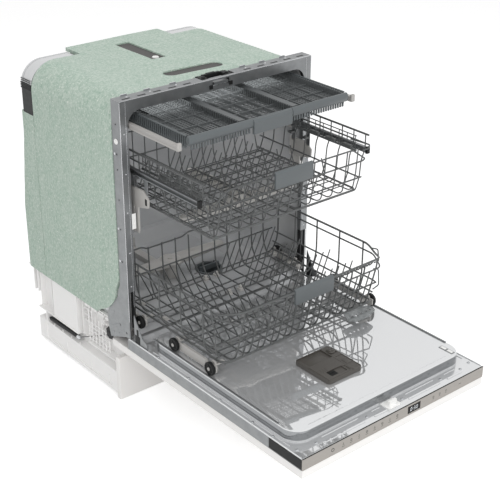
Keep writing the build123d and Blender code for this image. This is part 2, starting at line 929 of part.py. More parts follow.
# Open channels on the tub walls that carry the cutlery tray's runners
channel_front = 20
channel_rear = tub_rear - 32
with BuildPart() as tray_channels:
    for side in (-1, 1):
        web = side * (runner_outer + seat_gap + sheet)
        low = runner_low - seat_gap - sheet
        high = runner_high + seat_gap + sheet
        block(web - side * sheet, web, channel_front, channel_rear, low, high)
        block(side * (runner_outer - 6), web, channel_front, channel_rear, low, low + sheet)
        block(side * (runner_outer - 6), web, channel_front, channel_rear, high - sheet, high)
        for y in spaced(channel_front + 40, channel_rear - 40, 3):
            block(web, side * (tub_half - sheet - 1), y - 12, y + 12, low, low + 3)
tray_channels.part.label = "tray_channels"
export_step(tray_channels.part, "parts/tray_channels.step")

# Outer board of the open door
with BuildPart() as door_board:
    block(-door_half, door_half, -door_reach + sheet, board_rear, board_bottom, board_top)
door_board.part.label = "door_board"
export_step(door_board.part, "parts/door_board.step")

# Door shell: a shallow steel tray under the liner
shell_low = board_top + running_gap
cap_rear = -door_reach + cap_length
strip_rear = -door_reach + strip_thickness
with BuildPart() as door_shell:
    block(-door_half, door_half, strip_rear + seat_gap, shell_rear, shell_low, shell_low + sheet)
    for side in (-1, 1):
        block(
            side * (door_half - sheet),
            side * door_half,
            cap_rear + seat_gap,
            shell_rear,
            shell_low,
            ledge_plane - sheet,
        )
    block(-door_half, door_half, shell_rear - sheet, shell_rear, shell_low, ledge_plane - sheet)
door_shell.part.label = "door_shell"
export_step(door_shell.part, "parts/door_shell.step")

# Door liner: a ledge all round and the raised plateau that the lower rack rolls on
plateau_y = front_y + (liner_front + liner_rear) / 2
plateau_length = liner_rear - liner_front
with BuildPart() as door_liner:
    block(-door_half, door_half, strip_rear + seat_gap, shell_rear, ledge_plane - sheet, ledge_plane)
    with BuildSketch(Plane.XY.offset(ledge_plane - sheet)):
        with Locations((0, plateau_y)):
            RectangleRounded(2 * liner_half, plateau_length, rim_radius)
    extrude(amount=ledge_height - ledge_plane + sheet, taper=4)
    with BuildSketch(Plane.XY.offset(ledge_plane - sheet)):
        with Locations((0, plateau_y)):
            RectangleRounded(2 * (liner_half - sheet), plateau_length - 2 * sheet, rim_radius - sheet)
    extrude(amount=ledge_height - ledge_plane, taper=4, mode=Mode.SUBTRACT)
    with Locations((dispenser_x, front_y + dispenser_y, ledge_height)):
        Box(dispenser_width - 8, dispenser_length - 8, 6 * sheet, mode=Mode.SUBTRACT)
door_liner.part.label = "door_liner"
export_step(door_liner.part, "parts/door_liner.step")

# Dispenser: a tub let into the liner, with a detergent pocket under a sliding lid
lid_x0 = dispenser_x - dispenser_width / 2 + 3
lid_x1 = dispenser_x + 26
lid_y0 = dispenser_y - dispenser_length / 2 + 3
lid_y1 = dispenser_y + dispenser_length / 2 - 3 - lid_travel
deck_top = deck_height + seat_gap + lid_thickness
cap_x = (lid_x1 + dispenser_x + dispenser_width / 2) / 2
cap_y = dispenser_y + 34
with BuildPart() as dispenser_body:
    with BuildSketch(Plane.XY.offset(ledge_plane + 1)):
        with Locations((dispenser_x, front_y + dispenser_y)):
            Rectangle(dispenser_width - 9, dispenser_length - 9)
    extrude(amount=deck_height - ledge_plane - 1)
    with BuildSketch(Plane.XY.offset(ledge_height + seat_gap)):
        with Locations((dispenser_x, front_y + dispenser_y)):
            RectangleRounded(dispenser_width, dispenser_length, 9)
    extrude(amount=deck_height - ledge_height - seat_gap)
    block(
        lid_x1 + 2 * seat_gap,
        dispenser_x + dispenser_width / 2 - 2,
        dispenser_y - dispenser_length / 2 + 6,
        dispenser_y + dispenser_length / 2 - 6,
        deck_height,
        deck_top,
    )
    block(lid_x0 + 6, lid_x1 - 6, lid_y0 + 6, lid_y0 + 58, ledge_plane + 8, deck_top, Mode.SUBTRACT)
dispenser_body.part.label = "dispenser_body"
export_step(dispenser_body.part, "parts/dispenser_body.step")

# Sliding lid of the detergent pocket, with a finger recess
with BuildPart() as dispenser_lid:
    block(lid_x0, lid_x1, lid_y0, lid_y1, deck_height + seat_gap, deck_top)
    block(lid_x0 + 20, lid_x1 - 8, lid_y0 + 8, lid_y0 + 24, deck_top - 2, deck_top + 1, Mode.SUBTRACT)
dispenser_lid.part.label = "dispenser_lid"
export_step(dispenser_lid.part, "parts/dispenser_lid.step")

# Rinse aid cap with a grip bar
with BuildPart() as rinse_cap:
    with BuildSketch(Plane.XY.offset(deck_top + seat_gap)):
        with Locations((cap_x, front_y + cap_y)):
            Circle(10)
    extrude(amount=2)
    with BuildSketch(Plane.XY.offset(deck_top + seat_gap + 2)):
        with Locations((cap_x, front_y + cap_y)):
            Rectangle(16, 4)
    extrude(amount=2.5)
rinse_cap.part.label = "rinse_cap"
export_step(rinse_cap.part, "parts/rinse_cap.step")

# Control strip across the door's end, with the opening of the display
window_z = (strip_bottom + ledge_plane) / 2
with BuildPart() as control_strip:
    block(-door_half, door_half, -door_reach, strip_rear, strip_bottom, ledge_plane)
    with Locations((window_x, front_y + strip_rear, window_z)):
        Box(
            window_width + 2 * seat_gap,
            4 * strip_thickness,
            window_height + 2 * seat_gap,
            mode=Mode.SUBTRACT,
        )
control_strip.part.label = "control_strip"
export_step(control_strip.part, "parts/control_strip.step")

# Display window
with BuildPart() as display_window:
    with Locations((window_x, front_y + (strip_rear - door_reach) / 2, window_z)):
        Box(window_width, strip_thickness, window_height)
display_window.part.label = "display_window"
export_step(display_window.part, "parts/display_window.step")

# Black end caps that close both sides behind the control strip
with BuildPart() as end_caps:
    for side in (-1, 1):
        block(
            side * (door_half - 4),
            side * door_half,
            strip_rear + seat_gap,
            cap_rear,
            shell_low + sheet + seat_gap,
            ledge_plane - sheet - seat_gap,
        )
end_caps.part.label = "end_caps"
export_step(end_caps.part, "parts/end_caps.step")

# Striker of the door lock on the ledge at the door's end
striker_front = 17 - door_reach
with BuildPart() as door_striker:
    block(-16, 24, striker_front, striker_front + 28, ledge_plane, ledge_plane + 2)
    block(-8, 16, striker_front + 6, striker_front + 12, ledge_plane, ledge_plane + 14)
door_striker.part.label = "door_striker"
export_step(door_striker.part, "parts/door_striker.step")


# A rack's five welded wire panels, kept as panels so that the basket stays open
def basket(front, rear, floor, top, floor_half, half, lean, uprights, crosses, heights):
    inset = seat_gap
    low, high = front + lean, rear - 6
    floor_panel = panel(
        Plane.XY.offset(floor + wire),
        (-floor_half + inset, front_y + low + inset),
        (floor_half - inset, front_y + high - inset),
        spaced(-floor_half + wire, floor_half - wire, uprights[0]),
        spaced(front_y + low + wire, front_y + high - wire, crosses),
    )
    panels = [floor_panel]
    for side in (-1, 1):
        plane = side_plane(side, floor_half + wire + inset, floor, half, top)
        slant = math.hypot(half - floor_half - wire - inset, top - floor)
        ends = sorted((side * low, side * high))
        panels.append(
            panel(
                plane,
                (ends[0] + wire, 0),
                (ends[1] - wire, slant),
                spaced(ends[0] + 4 * wire, ends[1] - 4 * wire, uprights[1]),
                [wire / 2 + (slant - wire) * h for h in heights],
            )
        )
    for side, y_low, y_high in ((-1, low - wire - inset, front), (1, high + wire + inset, rear)):
        slant = math.hypot(y_high - y_low, top - floor)
        panels.append(
            panel(
                end_plane(side, y_low, floor, y_high, top),
                (-floor_half, 0),
                (floor_half, slant),
                spaced(-floor_half + 4 * wire, floor_half - 4 * wire, uprights[2]),
                [wire / 2 + (slant - wire) * h for h in heights],
            )
        )
    return panels


# A row of tines on one side of the middle: a bar with pins that lean outwards
def tine_row(side, inner, outer, y, base, top, lean, count):
    with BuildPart() as row:
        with BuildSketch(cross_plane(y - wire / 2)):
            with Locations((side * (inner + outer) / 2, base)):
                Rectangle(outer - inner, wire)
            for x in spaced(inner + wire, outer - wire - lean, count):
                foot, tip = side * x, side * (x + lean)
                Polygon(
                    (foot - wire / 2, base),
                    (foot + wire / 2, base),
                    (tip + wire / 2, top),
                    (tip - wire / 2, top),
                    align=None,
                )
        extrude(amount=-wire)
    return row.part


# Lower basket, with two fixed rows of tines in its front half
lower_panels = basket(
    lower_front,
    lower_rear,
    lower_floor,
    lower_top,
    lower_floor_half,
    lower_half,
    35,
    (7, 4, 6),
    5,
    (0, 0.34, 0.86, 1),
)
fixed_base = lower_floor + wire + wire / 2 + seat_gap
lower_rows = [
    tine_row(side, tine_inner, tine_outer, y, fixed_base, tine_top, tine_lean, 7)
    for side in (-1, 1)
    for y in fixed_rows
]
tine_clips = []
for side in (-1, 1):
    for y in tine_rows:
        with BuildPart() as tine_clip:
            block(
                side * (tine_inner - 12),
                side * (tine_inner - seat_gap),
                y - 8,
                y + 8,
                lower_floor + wire + seat_gap,
                lower_floor + wire + 16,
            )
        tine_clips.append(tine_clip.part)
lower_basket = Compound(label="lower_basket", children=lower_panels + lower_rows + tine_clips)
export_step(lower_basket, "parts/lower_basket.step")

# Four folding rows of tines, two behind the other on each side, each on a round journal
tine_base = lower_floor + wire + wire / math.sqrt(2) + pin_gap
journal = 6
for number, (side, y) in enumerate([(side, y) for side in (-1, 1) for y in tine_rows]):
    with BuildPart() as folding_row:
        add(tine_row(side, tine_inner + journal, tine_outer, y, tine_base, tine_top, tine_lean, 8))
        with BuildSketch(Plane.YZ.offset(side * tine_inner)):
            with Locations((front_y + y, tine_base)):
                Circle(wire / 2)
        extrude(amount=side * journal)
    folding_row.part.label = "tine_row_" + str(number + 1)
    export_step(folding_row.part, "parts/tine_row_" + str(number + 1) + ".step")

# Handle of the lower rack
with BuildPart() as lower_handle:
    block(-62, 62, lower_front - 7, lower_front - seat_gap, lower_top - 33, lower_top + 9)
    fillet(lower_handle.edges().filter_by(Axis.X), radius=2.5)
lower_handle.part.label = "lower_handle"
export_step(lower_handle.part, "parts/lower_handle.step")

# Wheel carriers: side plates under the basket with lugs and axle pins
wheel_z = ledge_height + seat_gap + wheel_radius
carrier_x = wheel_track - wheel_width / 2 - 1.5
with BuildPart() as wheel_carriers:
    for side in (-1, 1):
        for first, last in ((wheel_places[0], wheel_places[1]), (wheel_places[2], wheel_places[3])):
            block(
                side * (carrier_x - 4),
                side * carrier_x,
                first - 14,
                last + 14,
                wheel_z - 9,
                wheel_z + 9,
            )
        for y in wheel_places:
            block(
                side * (carrier_x - 33),
                side * (carrier_x - 3),
                y - 8,
                y + 3,
                lower_floor - 5,
                lower_floor - seat_gap,
            )
            with BuildSketch(Plane.YZ.offset(side * carrier_x)):
                with Locations((front_y + y, wheel_z)):
                    RegularPolygon(axle_radius, few_sides)
            extrude(amount=side * (wheel_width + 2))
wheel_carriers.part.label = "wheel_carriers"
export_step(wheel_carriers.part, "parts/wheel_carriers.step")

# Wheels of the lower rack: each node holds the left and right wheel of one axle line
for number, y in enumerate(wheel_places):
    with BuildPart() as wheel_pair:
        for side in (-1, 1):
            with BuildSketch(Plane.YZ.offset(side * (wheel_track - wheel_width / 2))):
                with Locations((front_y + y, wheel_z)):
                    Circle(wheel_radius)
                    Circle(axle_radius + pin_gap, mode=Mode.SUBTRACT)
            extrude(amount=side * wheel_width)
    wheel_pair.part.label = "wheel_pair_" + str(number + 1)
    export_step(wheel_pair.part, "parts/wheel_pair_" + str(number + 1) + ".step")

# Middle basket, with two fixed rows of tines
middle_panels = basket(
    middle_front,
    middle_rear,
    middle_floor,
    middle_top,
    middle_floor_half,
    middle_half,
    20,
    (7, 5, 6),
    5,
    (0, 0.53, 1),
)
middle_base = middle_floor + wire + wire / 2 + seat_gap
middle_rows = [
    tine_row(side, 6, middle_floor_half - 21, y, middle_base, middle_floor + 70, 12, 7)
    for side in (-1, 1)
    for y in (-160, -40)
]
hanger_inner = middle_half - 10.1
hanger_top = rail_height_middle - 16
middle_hangers = []
for side in (-1, 1):
    with BuildPart() as middle_hanger:
        block(side * hanger_inner, side * middle_half, -100, 10, hanger_top - 16, hanger_top)
    middle_hangers.append(middle_hanger.part)
middle_basket = Compound(label="middle_basket", children=middle_panels + middle_rows + middle_hangers)
export_step(middle_basket, "parts/middle_basket.step")

# Handle of the middle rack
with BuildPart() as middle_handle:
    block(
        -handle_half,
        handle_half,
        middle_front - 8,
        middle_front + 1.4,
        middle_top - 59,
        middle_top - 16,
    )
    fillet(middle_handle.edges().filter_by(Axis.X), radius=2.5)
middle_handle.part.label = "middle_handle"
export_step(middle_handle.part, "parts/middle_handle.step")

# Runners of the middle rack: a rail round the roller and an adjuster plate on each side
rail_low = rail_height_middle - roller_radius - seat_gap
rail_high = rail_height_middle + roller_radius + seat_gap
with BuildPart() as middle_runners:
    for side in (-1, 1):
        low = rail_low - sheet
        high = rail_high + sheet
        web = side * rail_inner
        lips = side * (rail_inner + 9)
        block(web, side * (rail_inner + sheet), rail_front, rail_rear, low, high)
        block(web, lips, rail_front, rail_rear, low, rail_low)
        block(web, lips, rail_front, rail_rear, rail_high, high)
        block(web, lips, rail_front, rail_front + 3, low, high)
        block(web, lips, rail_rear - 3, rail_rear, low, high)
        block(side * (middle_half + seat_gap), web, -120, 30, rail_height_middle - 58, high)
middle_runners.part.label = "middle_runners"
export_step(middle_runners.part, "parts/middle_runners.step")

# Feed tube under the middle basket, with the hub of its spray arm
middle_hub = hub_offset - middle_travel
middle_arm_z = middle_floor - 33
with BuildPart() as middle_feed_tube:
    block(
        -duct_half,
        duct_half,
        middle_hub,
        middle_rear,
        middle_arm_z + arm_height + running_gap,
        middle_floor - seat_gap,
    )
    with BuildSketch(Plane.XY.offset(middle_arm_z - 1)):
        with Locations((0, front_y + middle_hub)):
            Circle(arm_bore)
    extrude(amount=middle_floor - seat_gap - middle_arm_z + 1)
    for low, high in (
        (middle_arm_z + arm_height + running_gap, middle_floor - seat_gap),
        (middle_arm_z - running_gap - 4, middle_arm_z - running_gap),
    ):
        with BuildSketch(Plane.XY.offset(low)):
            with Locations((0, front_y + middle_hub)):
                RegularPolygon(hub_radius, many_sides)
        extrude(amount=high - low)
middle_feed_tube.part.label = "middle_feed_tube"
export_step(middle_feed_tube.part, "parts/middle_feed_tube.step")

# Spray arm of the middle rack
middle_spray_arm = spray_arm(middle_hub, middle_arm_z)
middle_spray_arm.label = "middle_spray_arm"
export_step(middle_spray_arm, "parts/middle_spray_arm.step")

# Cup shelves of the middle rack, folded up along its sides
shelf_x = middle_half - 16.2
shelf_z = rail_height_middle
shelf_top = shelf_z + 39
shelf_bar = 4
for side, name in ((-1, "cup_shelf_left"), (1, "cup_shelf_right")):
    with BuildPart() as cup_shelf:
        with BuildSketch(cross_plane(4)):
            with Locations((side * shelf_x, shelf_z)):
                Circle(shelf_bar)
        extrude(amount=4)
        with BuildSketch(cross_plane(0)):
            with Locations((side * shelf_x, shelf_z)):
                RegularPolygon(shelf_bar, few_sides)
        extrude(amount=236)
        block(side * (shelf_x - 1.5), side * (shelf_x + 1.5), -236, 4, shelf_top - 3, shelf_top)
        for y in spaced(-232, -2, 7):
            block(side * (shelf_x - 1.5), side * (shelf_x + 1.5), y - 2, y + 2, shelf_z, shelf_top - 1)
    cup_shelf.part.label = name
    export_step(cup_shelf.part, "parts/" + name + ".step")

# Frame of the cutlery tray: front rail with the grip, rear rail and two side rails
with BuildPart() as tray_front_rail:
    block(-tray_half, tray_half, tray_front, tray_front + 14, tray_bottom + 12, tray_top)
    fillet(tray_front_rail.edges().filter_by(Axis.X).group_by(Axis.Z)[-1], radius=4)
    block(-handle_half, handle_half, tray_front - 3, tray_front + 3, tray_bottom - 10, tray_top - 4)
with BuildPart() as tray_rear_rail:
    block(-tray_half, tray_half, tray_rear - 6, tray_rear, tray_bottom + 3, tray_top)
tray_sides = []
for side in (-1, 1):
    with BuildPart() as tray_side:
        block(
            side * (tray_half - 5),
            side * tray_half,
            tray_front + 14.2,
            tray_rear - 6.2,
            tray_bottom - 3.3,
            tray_top,
        )
        block(
            side * (tray_half - 12),
            side * tray_half,
            tray_front + 14.2,
            tray_rear - 6.2,
            tray_bottom - 3.3,
            tray_bottom - seat_gap,
        )
    tray_sides.append(tray_side.part)
tray_frame = Compound(
    label="tray_frame",
    children=[tray_front_rail.part, tray_rear_rail.part] + tray_sides,
)
export_step(tray_frame, "parts/tray_frame.step")

# Three inserts of the cutlery tray: a slotted floor with a wall at each side
insert_parts = []
outer_start = insert_half + 2
outer_end = tray_half - 5.3
for x0, x1 in ((-outer_end, -outer_start), (-insert_half, insert_half), (outer_start, outer_end)):
    with BuildPart() as insert_floor:
        with BuildSketch(Plane.XY.offset(tray_bottom)):
            y0 = front_y + tray_front + 14.3
            y1 = front_y + tray_rear - 6.3
            for x in spaced(x0 + 1.5, x1 - 1.5, 4):
                with Locations((x, (y0 + y1) / 2)):
                    Rectangle(3, y1 - y0)
            for y in spaced(y0 + 1.5, y1 - 1.5, 6):
                with Locations(((x0 + x1) / 2, y)):
                    Rectangle(x1 - x0, 3)
        extrude(amount=3)
    insert_parts.append(insert_floor.part)
    for wall in (x0, x1 - 2.5):
        with BuildPart() as insert_wall:
            block(wall, wall + 2.5, tray_front + 14.3, tray_rear - 6.3, tray_bottom + 3.2, tray_top - 3)
        insert_parts.append(insert_wall.part)
tray_inserts = Compound(label="tray_inserts", children=insert_parts)
export_step(tray_inserts, "parts/tray_inserts.step")

# Runners of the cutlery tray, with lugs to its side rails
with BuildPart() as tray_runners:
    for side in (-1, 1):
        block(side * runner_inner, side * runner_outer, -168, 205, runner_low, runner_high)
        block(
            side * (runner_inner + 3),
            side * (runner_outer + 1),
            -160,
            206,
            runner_low + 4.2,
            runner_high - 4.7,
            Mode.SUBTRACT,
        )
        for y in (-120, 140):
            block(
                side * (tray_half + seat_gap),
                side * (runner_inner + 1),
                y - 15,
                y + 15,
                runner_low + 4.2,
                runner_high - 2.7,
            )
tray_runners.part.label = "tray_runners"
export_step(tray_runners.part, "parts/tray_runners.step")
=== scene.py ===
import math

import bpy
from mathutils import Matrix, Vector


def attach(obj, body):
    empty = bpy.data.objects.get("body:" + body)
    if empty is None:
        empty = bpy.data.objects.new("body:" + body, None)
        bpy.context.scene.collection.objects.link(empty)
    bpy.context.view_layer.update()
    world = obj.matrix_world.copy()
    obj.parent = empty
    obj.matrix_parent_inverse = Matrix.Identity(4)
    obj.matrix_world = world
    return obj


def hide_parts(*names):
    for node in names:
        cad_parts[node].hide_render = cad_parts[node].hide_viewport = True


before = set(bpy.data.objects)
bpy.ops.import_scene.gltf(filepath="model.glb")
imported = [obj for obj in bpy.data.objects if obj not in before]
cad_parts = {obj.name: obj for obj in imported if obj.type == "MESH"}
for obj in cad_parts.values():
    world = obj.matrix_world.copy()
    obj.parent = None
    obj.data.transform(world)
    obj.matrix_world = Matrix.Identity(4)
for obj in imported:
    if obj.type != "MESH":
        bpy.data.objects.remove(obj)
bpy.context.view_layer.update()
scene = bpy.context.scene
sides, once = (-1, 1), (1,)  # factors on x: pieces on the left and right, or as written
frame_front = 67.5  # the steel frame's front lies this far behind the shared origin, in mm


# ---- Camera: where the photographer stood, front left and above ----
# Places are given in mm: x to the right, y back from the steel frame's front, z up from the floor.
def at(x, y, z):
    return Vector((x / 1000, (y + frame_front) / 1000, z / 1000))


camera_data = bpy.data.cameras.new("camera")
camera = bpy.data.objects.new("camera", camera_data)
scene.collection.objects.link(camera)
scene.camera = camera
camera_data.lens, camera_data.sensor_width = 82.6, 36
camera_data.clip_start, camera_data.clip_end = 0.1, 60
scene.view_settings.view_transform = "Standard"
yaw, pitch, roll = (math.radians(angle) for angle in (39.942, 26.199, 0.239))
aimed = Matrix.Rotation(-yaw, 4, "Z") @ Matrix.Rotation(math.pi / 2 - pitch, 4, "X") @ Matrix.Rotation(roll, 4, "Z")
camera.matrix_world = Matrix.Translation(at(-1672.8, -2110.6, 1696.5)) @ aimed


# ---- Room: a white sweep of paper under a soft sky and four large soft boxes ----
# The paper is seen white by the eye and by gloss, and takes a faint shadow.
def linear(code):
    parts = [int(code[i:i + 2], 16) / 255 for i in (0, 2, 4)]
    return tuple(c / 12.92 if c <= 0.04045 else ((c + 0.055) / 1.055) ** 2.4 for c in parts) + (1.0,)


def add_node(tree, kind, links=(), values=(), **settings):
    """Adds a node: links as (socket, input), values as (input, value), other settings by name."""
    node = tree.nodes.new("ShaderNode" + kind)
    for name, value in settings.items():
        if hasattr(node, name):
            setattr(node, name, value)
        else:
            node.inputs[name.replace("_", " ")].default_value = value
    for target, value in values:
        node.inputs[target].default_value = value
    for source, target in links:
        tree.links.new(source, node.inputs[target])
    return node


def eye_or_gloss(tree, rays):
    """One for a ray from the eye or from a glossy surface, else nought."""
    return add_node(tree, "Math", [(rays.outputs["Is Camera Ray"], 0), (rays.outputs["Is Glossy Ray"], 1)],
                    operation="MAXIMUM").outputs[0]


def new_material(name, colour, rough, metal=0.0, **settings):
    """A material, its node tree, its shader, and the Object coordinates that its patterns read."""
    material = bpy.data.materials.new(name)
    material.use_nodes = True
    tree = material.node_tree
    shader = tree.nodes["Principled BSDF"]
    settings.update(Base_Color=linear(colour), Roughness=rough, Metallic=metal)
    for setting, value in settings.items():
        shader.inputs[setting.replace("_", " ")].default_value = value
    return material, tree, shader, add_node(tree, "TexCoord").outputs["Object"]


world = bpy.data.worlds.new("studio")
scene.world = world
world.use_nodes = True
sky = world.node_tree
sky.nodes.clear()
rays = add_node(sky, "LightPath")
seen = add_node(sky, "Math", [(eye_or_gloss(sky, rays), 0), (rays.outputs["Is Transmission Ray"], 1)],
                operation="MAXIMUM")
brightness = add_node(sky, "MapRange", [(seen.outputs[0], "Value")], To_Min=0.5, To_Max=1.0)
backdrop = add_node(sky, "Background", [(brightness.outputs[0], "Strength")], Color=(1, 1, 1, 1))
add_node(sky, "OutputWorld", [(backdrop.outputs[0], "Surface")])

lit_point = Vector((0, 0, 0.4))
for name, place, size, power in (
    ("soft_box_left", (-2.6, -1.6, 2.6), 2.2, 34),
    ("soft_box_right", (2.4, -2.4, 2.8), 2.2, 20),
    ("soft_box_top", (0.1, 0.3, 3.4), 2.6, 24),
    ("soft_box_front", (-0.8, -3.3, 1.3), 1.8, 34),
):
    bpy.ops.object.light_add(type="AREA", location=place)
    lamp = bpy.context.object
    lamp.name = name
    lamp.data.shape = "SQUARE"
    lamp.data.size = size
    lamp.data.energy = power
    lamp.rotation_mode = "QUATERNION"
    lamp.rotation_quaternion = (lit_point - Vector(place)).to_track_quat("-Z", "Y")
    lamp.visible_glossy = False

# A small panel under the tub's ceiling opens up the shadows inside.
bpy.ops.object.light_add(type="AREA", location=at(0, 200, 796), rotation=(0, 0, 0))
lamp = bpy.context.object
lamp.name = "panel_in_tub"
lamp.data.size = 0.4
lamp.data.energy = 1.7
lamp.visible_glossy = lamp.visible_camera = False

bpy.ops.mesh.primitive_plane_add(size=30, location=(0, 0, -0.0002))
paper = bpy.context.object
paper.name = "paper_sweep"
matt_paper, tree, shader, _ = new_material("matt_paper", "F4F4F4", 0.95, Emission_Color=(1, 1, 1, 1))
glow = add_node(tree, "Math", [(eye_or_gloss(tree, add_node(tree, "LightPath")), 0)], [(1, 0.45)],
                operation="MULTIPLY")
tree.links.new(glow.outputs[0], shader.inputs["Emission Strength"])
paper.data.materials.append(matt_paper)


# ---- Felt blanket: needled recycled fibre, 9.5 mm thick, cut flat and folded over the tub ----
# Loose fibres catch the light as pale flecks; two slots leave the bitumen sheet bare.
def dress(piece, material, body, replaces=()):
    piece.data.materials.clear()
    piece.data.materials.append(material)
    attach(piece, body)
    if replaces:
        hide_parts(*replaces)
    return piece


def only(piece):
    bpy.ops.object.select_all(action="DESELECT")
    piece.select_set(True)
    bpy.context.view_layer.objects.active = piece


def edit(piece, *steps):
    """Runs each step on the whole mesh in edit mode, then turns its faces outwards."""
    only(piece)
    bpy.ops.object.mode_set(mode="EDIT")
    for step in steps:
        bpy.ops.mesh.select_all(action="SELECT")
        step()
    bpy.ops.mesh.select_all(action="SELECT")
    bpy.ops.mesh.normals_make_consistent(inside=False)
    bpy.ops.object.mode_set(mode="OBJECT")
    return piece


def apply_modifier(piece, kind, **settings):
    only(piece)
    modifier = piece.modifiers.new(kind, kind)
    for name, value in settings.items():
        setattr(modifier, name, value)
    bpy.ops.object.modifier_apply(modifier=modifier.name)
    return piece


def cut_away(piece, cutter):
    apply_modifier(piece, "BOOLEAN", object=cutter, operation="DIFFERENCE", solver="EXACT")
    bpy.data.objects.remove(cutter)
    return piece


def new_piece(points, edges, faces):
    mesh = bpy.data.meshes.new("piece")
    mesh.from_pydata([tuple(p) for p in points], edges, faces)
    piece = bpy.data.objects.new("piece", mesh)
    scene.collection.objects.link(piece)
    return piece


def plate(axis, level, outline, thick):
    """A flat cut piece in mm: an outline across one axis (0 x, 1 y, 2 z) at a level, grown along it."""
    points = [at(*p[:axis], level, *p[axis:]) for p in outline]
    depth = tuple(thick / 1000 if n == axis else 0 for n in range(3))
    return edit(new_piece(points, [], [tuple(range(len(points)))]),
                lambda: bpy.ops.mesh.extrude_region_move(TRANSFORM_OT_translate={"value": depth}))


def rounded(cx, cy, wide, deep, corner, steps=6):
    """Points of a rectangle with round corners, in two dimensions."""
    points = []
    for k, (sx, sy) in enumerate(((1, 1), (-1, 1), (-1, -1), (1, -1))):
        for n in range(steps + 1):
            turn = math.pi / 2 * (k + n / steps)
            points.append((cx + sx * (wide / 2 - corner) + corner * math.cos(turn),
                           cy + sy * (deep / 2 - corner) + corner * math.sin(turn)))
    return points


def smooth(piece, angle=35):
    only(piece)
    bpy.ops.object.shade_smooth_by_angle(angle=math.radians(angle))
    return piece


def grid(columns, rows, lay):
    """Squares over the places that lay(u, w) gives for u and w from 0 to 1; nothing where it gives none."""
    places = [lay(n / columns, m / rows) for m in range(rows + 1) for n in range(columns + 1)]
    kept = [n for n, place in enumerate(places) if place]
    number = {n: k for k, n in enumerate(kept)}
    squares = [(n, n + 1, n + columns + 2, n + columns + 1) for n in kept if (n + 1) % (columns + 1)]
    return new_piece([places[n] for n in kept], [],
                     [[number[n] for n in square] for square in squares if all(n in number for n in square)])


def cloth(name, columns, rows, lay, outer):
    """Felt laid by the function lay; its outer side faces the axis outer."""
    piece = edit(grid(columns, rows, lay))
    piece.name = name
    if piece.data.polygons[len(piece.data.polygons) // 2].normal[outer] < 0:
        piece.data.flip_normals()
    return apply_modifier(piece, "SOLIDIFY", thickness=felt_thick, offset=-1)


felt_thick = 0.0095
felt_radius, felt_half, felt_top, felt_bottom = 70.5, 299.5, 835.5, 231
felt_front, felt_back, tab_depth, tab_half = 37.5, 402, 72, 151
body_rows, tab_rows = 40, 8
upright_run = felt_top - felt_radius - felt_bottom
turn_run = math.pi / 2 * felt_radius
top_run = 2 * (felt_half - felt_radius)
felt_width = 2 * upright_run + 2 * turn_run + top_run


def fold_over(along):
    """Where a point of the flat cloth lies, folded over the tub: x and z."""
    side = -1 if along < felt_width / 2 else 1
    run = along if side < 0 else felt_width - along
    if run < upright_run:
        return side * felt_half, felt_bottom + run
    if run < upright_run + turn_run:
        turn = (run - upright_run) / felt_radius
        return (side * (felt_half - felt_radius + felt_radius * math.cos(turn)),
                felt_top - felt_radius + felt_radius * math.sin(turn))
    return side * (felt_half - felt_radius - (run - upright_run - turn_run)), felt_top


def lay_blanket(u, w):
    along = u * felt_width
    row = round(w * (body_rows + tab_rows))
    if row <= body_rows:
        depth = felt_front + (felt_back - felt_front) * row / body_rows
    else:
        depth = felt_back + tab_depth * (row - body_rows) / tab_rows
    x, z = fold_over(along)
    if row > body_rows and abs(x) > tab_half:
        return None
    ripple = 0.7 * math.sin(along / 61 + depth / 83) * math.sin(depth / 57 - along / 140)
    if z > felt_top - 1:
        return at(x, depth, z + ripple)
    return at(x + math.copysign(ripple, x), depth, z)


blanket = cloth("felt_blanket_cloth", 200, body_rows + tab_rows, lay_blanket, 2)
slots = (
    rounded(-12, 326, 43, 176, 6),
    [(x, y - x * 0.05) for x, y in rounded(0, 112, 172, 42, 20.5, 8)],
    rounded(0, 37, 100, 22, 3),
)
for outline in slots:
    cut_away(blanket, plate(2, 815, outline, 40))  # through the top
corner = [(30, 372), (38, 366), (47, 350), (55, 330), (58, 312), (65, 297), (78, 281), (93, 266), (118, 251),
          (143, 239), (152, 226), (150, 218), (30, 218)]
cut_away(blanket, plate(0, -330, corner, 2 * 330))  # through both sides
smooth(blanket, 50)

needled_felt, tree, shader, where = new_material("needled_felt", "A9BEAF", 0.95, Sheen_Weight=0.25,
                                                Sheen_Roughness=0.6)
# Real fibres are 0.03 mm thick, drawn here as tufts of 1 to 3 mm so that they show.
combed = add_node(tree, "Mapping", [(where, "Vector")], [("Scale", (1, 1, 0.7))]).outputs[0]
tufts, clouds, flecks = (
    add_node(tree, "TexNoise", [(combed, "Vector")], Scale=scale, Detail=detail, Roughness=rough).outputs[0]
    for scale, detail, rough in ((150, 8, 0.7), (26, 5, 0.6), (330, 3, 0.5))
)
greens = []
for pattern, stops_and_slot_shade in ((tufts, ((0.38, "8AA796"), (0.62, "C8D3C9"))), (clouds, ((0.35, "98B2A1"), (0.7, "B4C3B7")))):
    ramp = add_node(tree, "ValToRGB", [(pattern, "Fac")])
    for element, (position, colour) in zip(ramp.color_ramp.elements, stops_and_slot_shade):
        element.position, element.color = position, linear(colour)
    greens.append(ramp.outputs[0])
both = add_node(tree, "Mix", [(greens[1], 6), (greens[0], 7)], [(0, 0.6)], data_type="RGBA")
pale = add_node(tree, "MapRange", [(flecks, "Value")], From_Min=0.6, From_Max=0.7)
speckled = add_node(tree, "Mix", [(pale.outputs[0], 0), (both.outputs[2], 6)], [(7, linear("E6E9E2"))],
                    data_type="RGBA")
tree.links.new(speckled.outputs[2], shader.inputs["Base Color"])
fuzz = add_node(tree, "Bump", [(tufts, "Height")], Strength=0.22, Distance=0.001)
tree.links.new(fuzz.outputs[0], shader.inputs["Normal"])
dress(blanket, needled_felt, "machine", ["felt_blanket"])

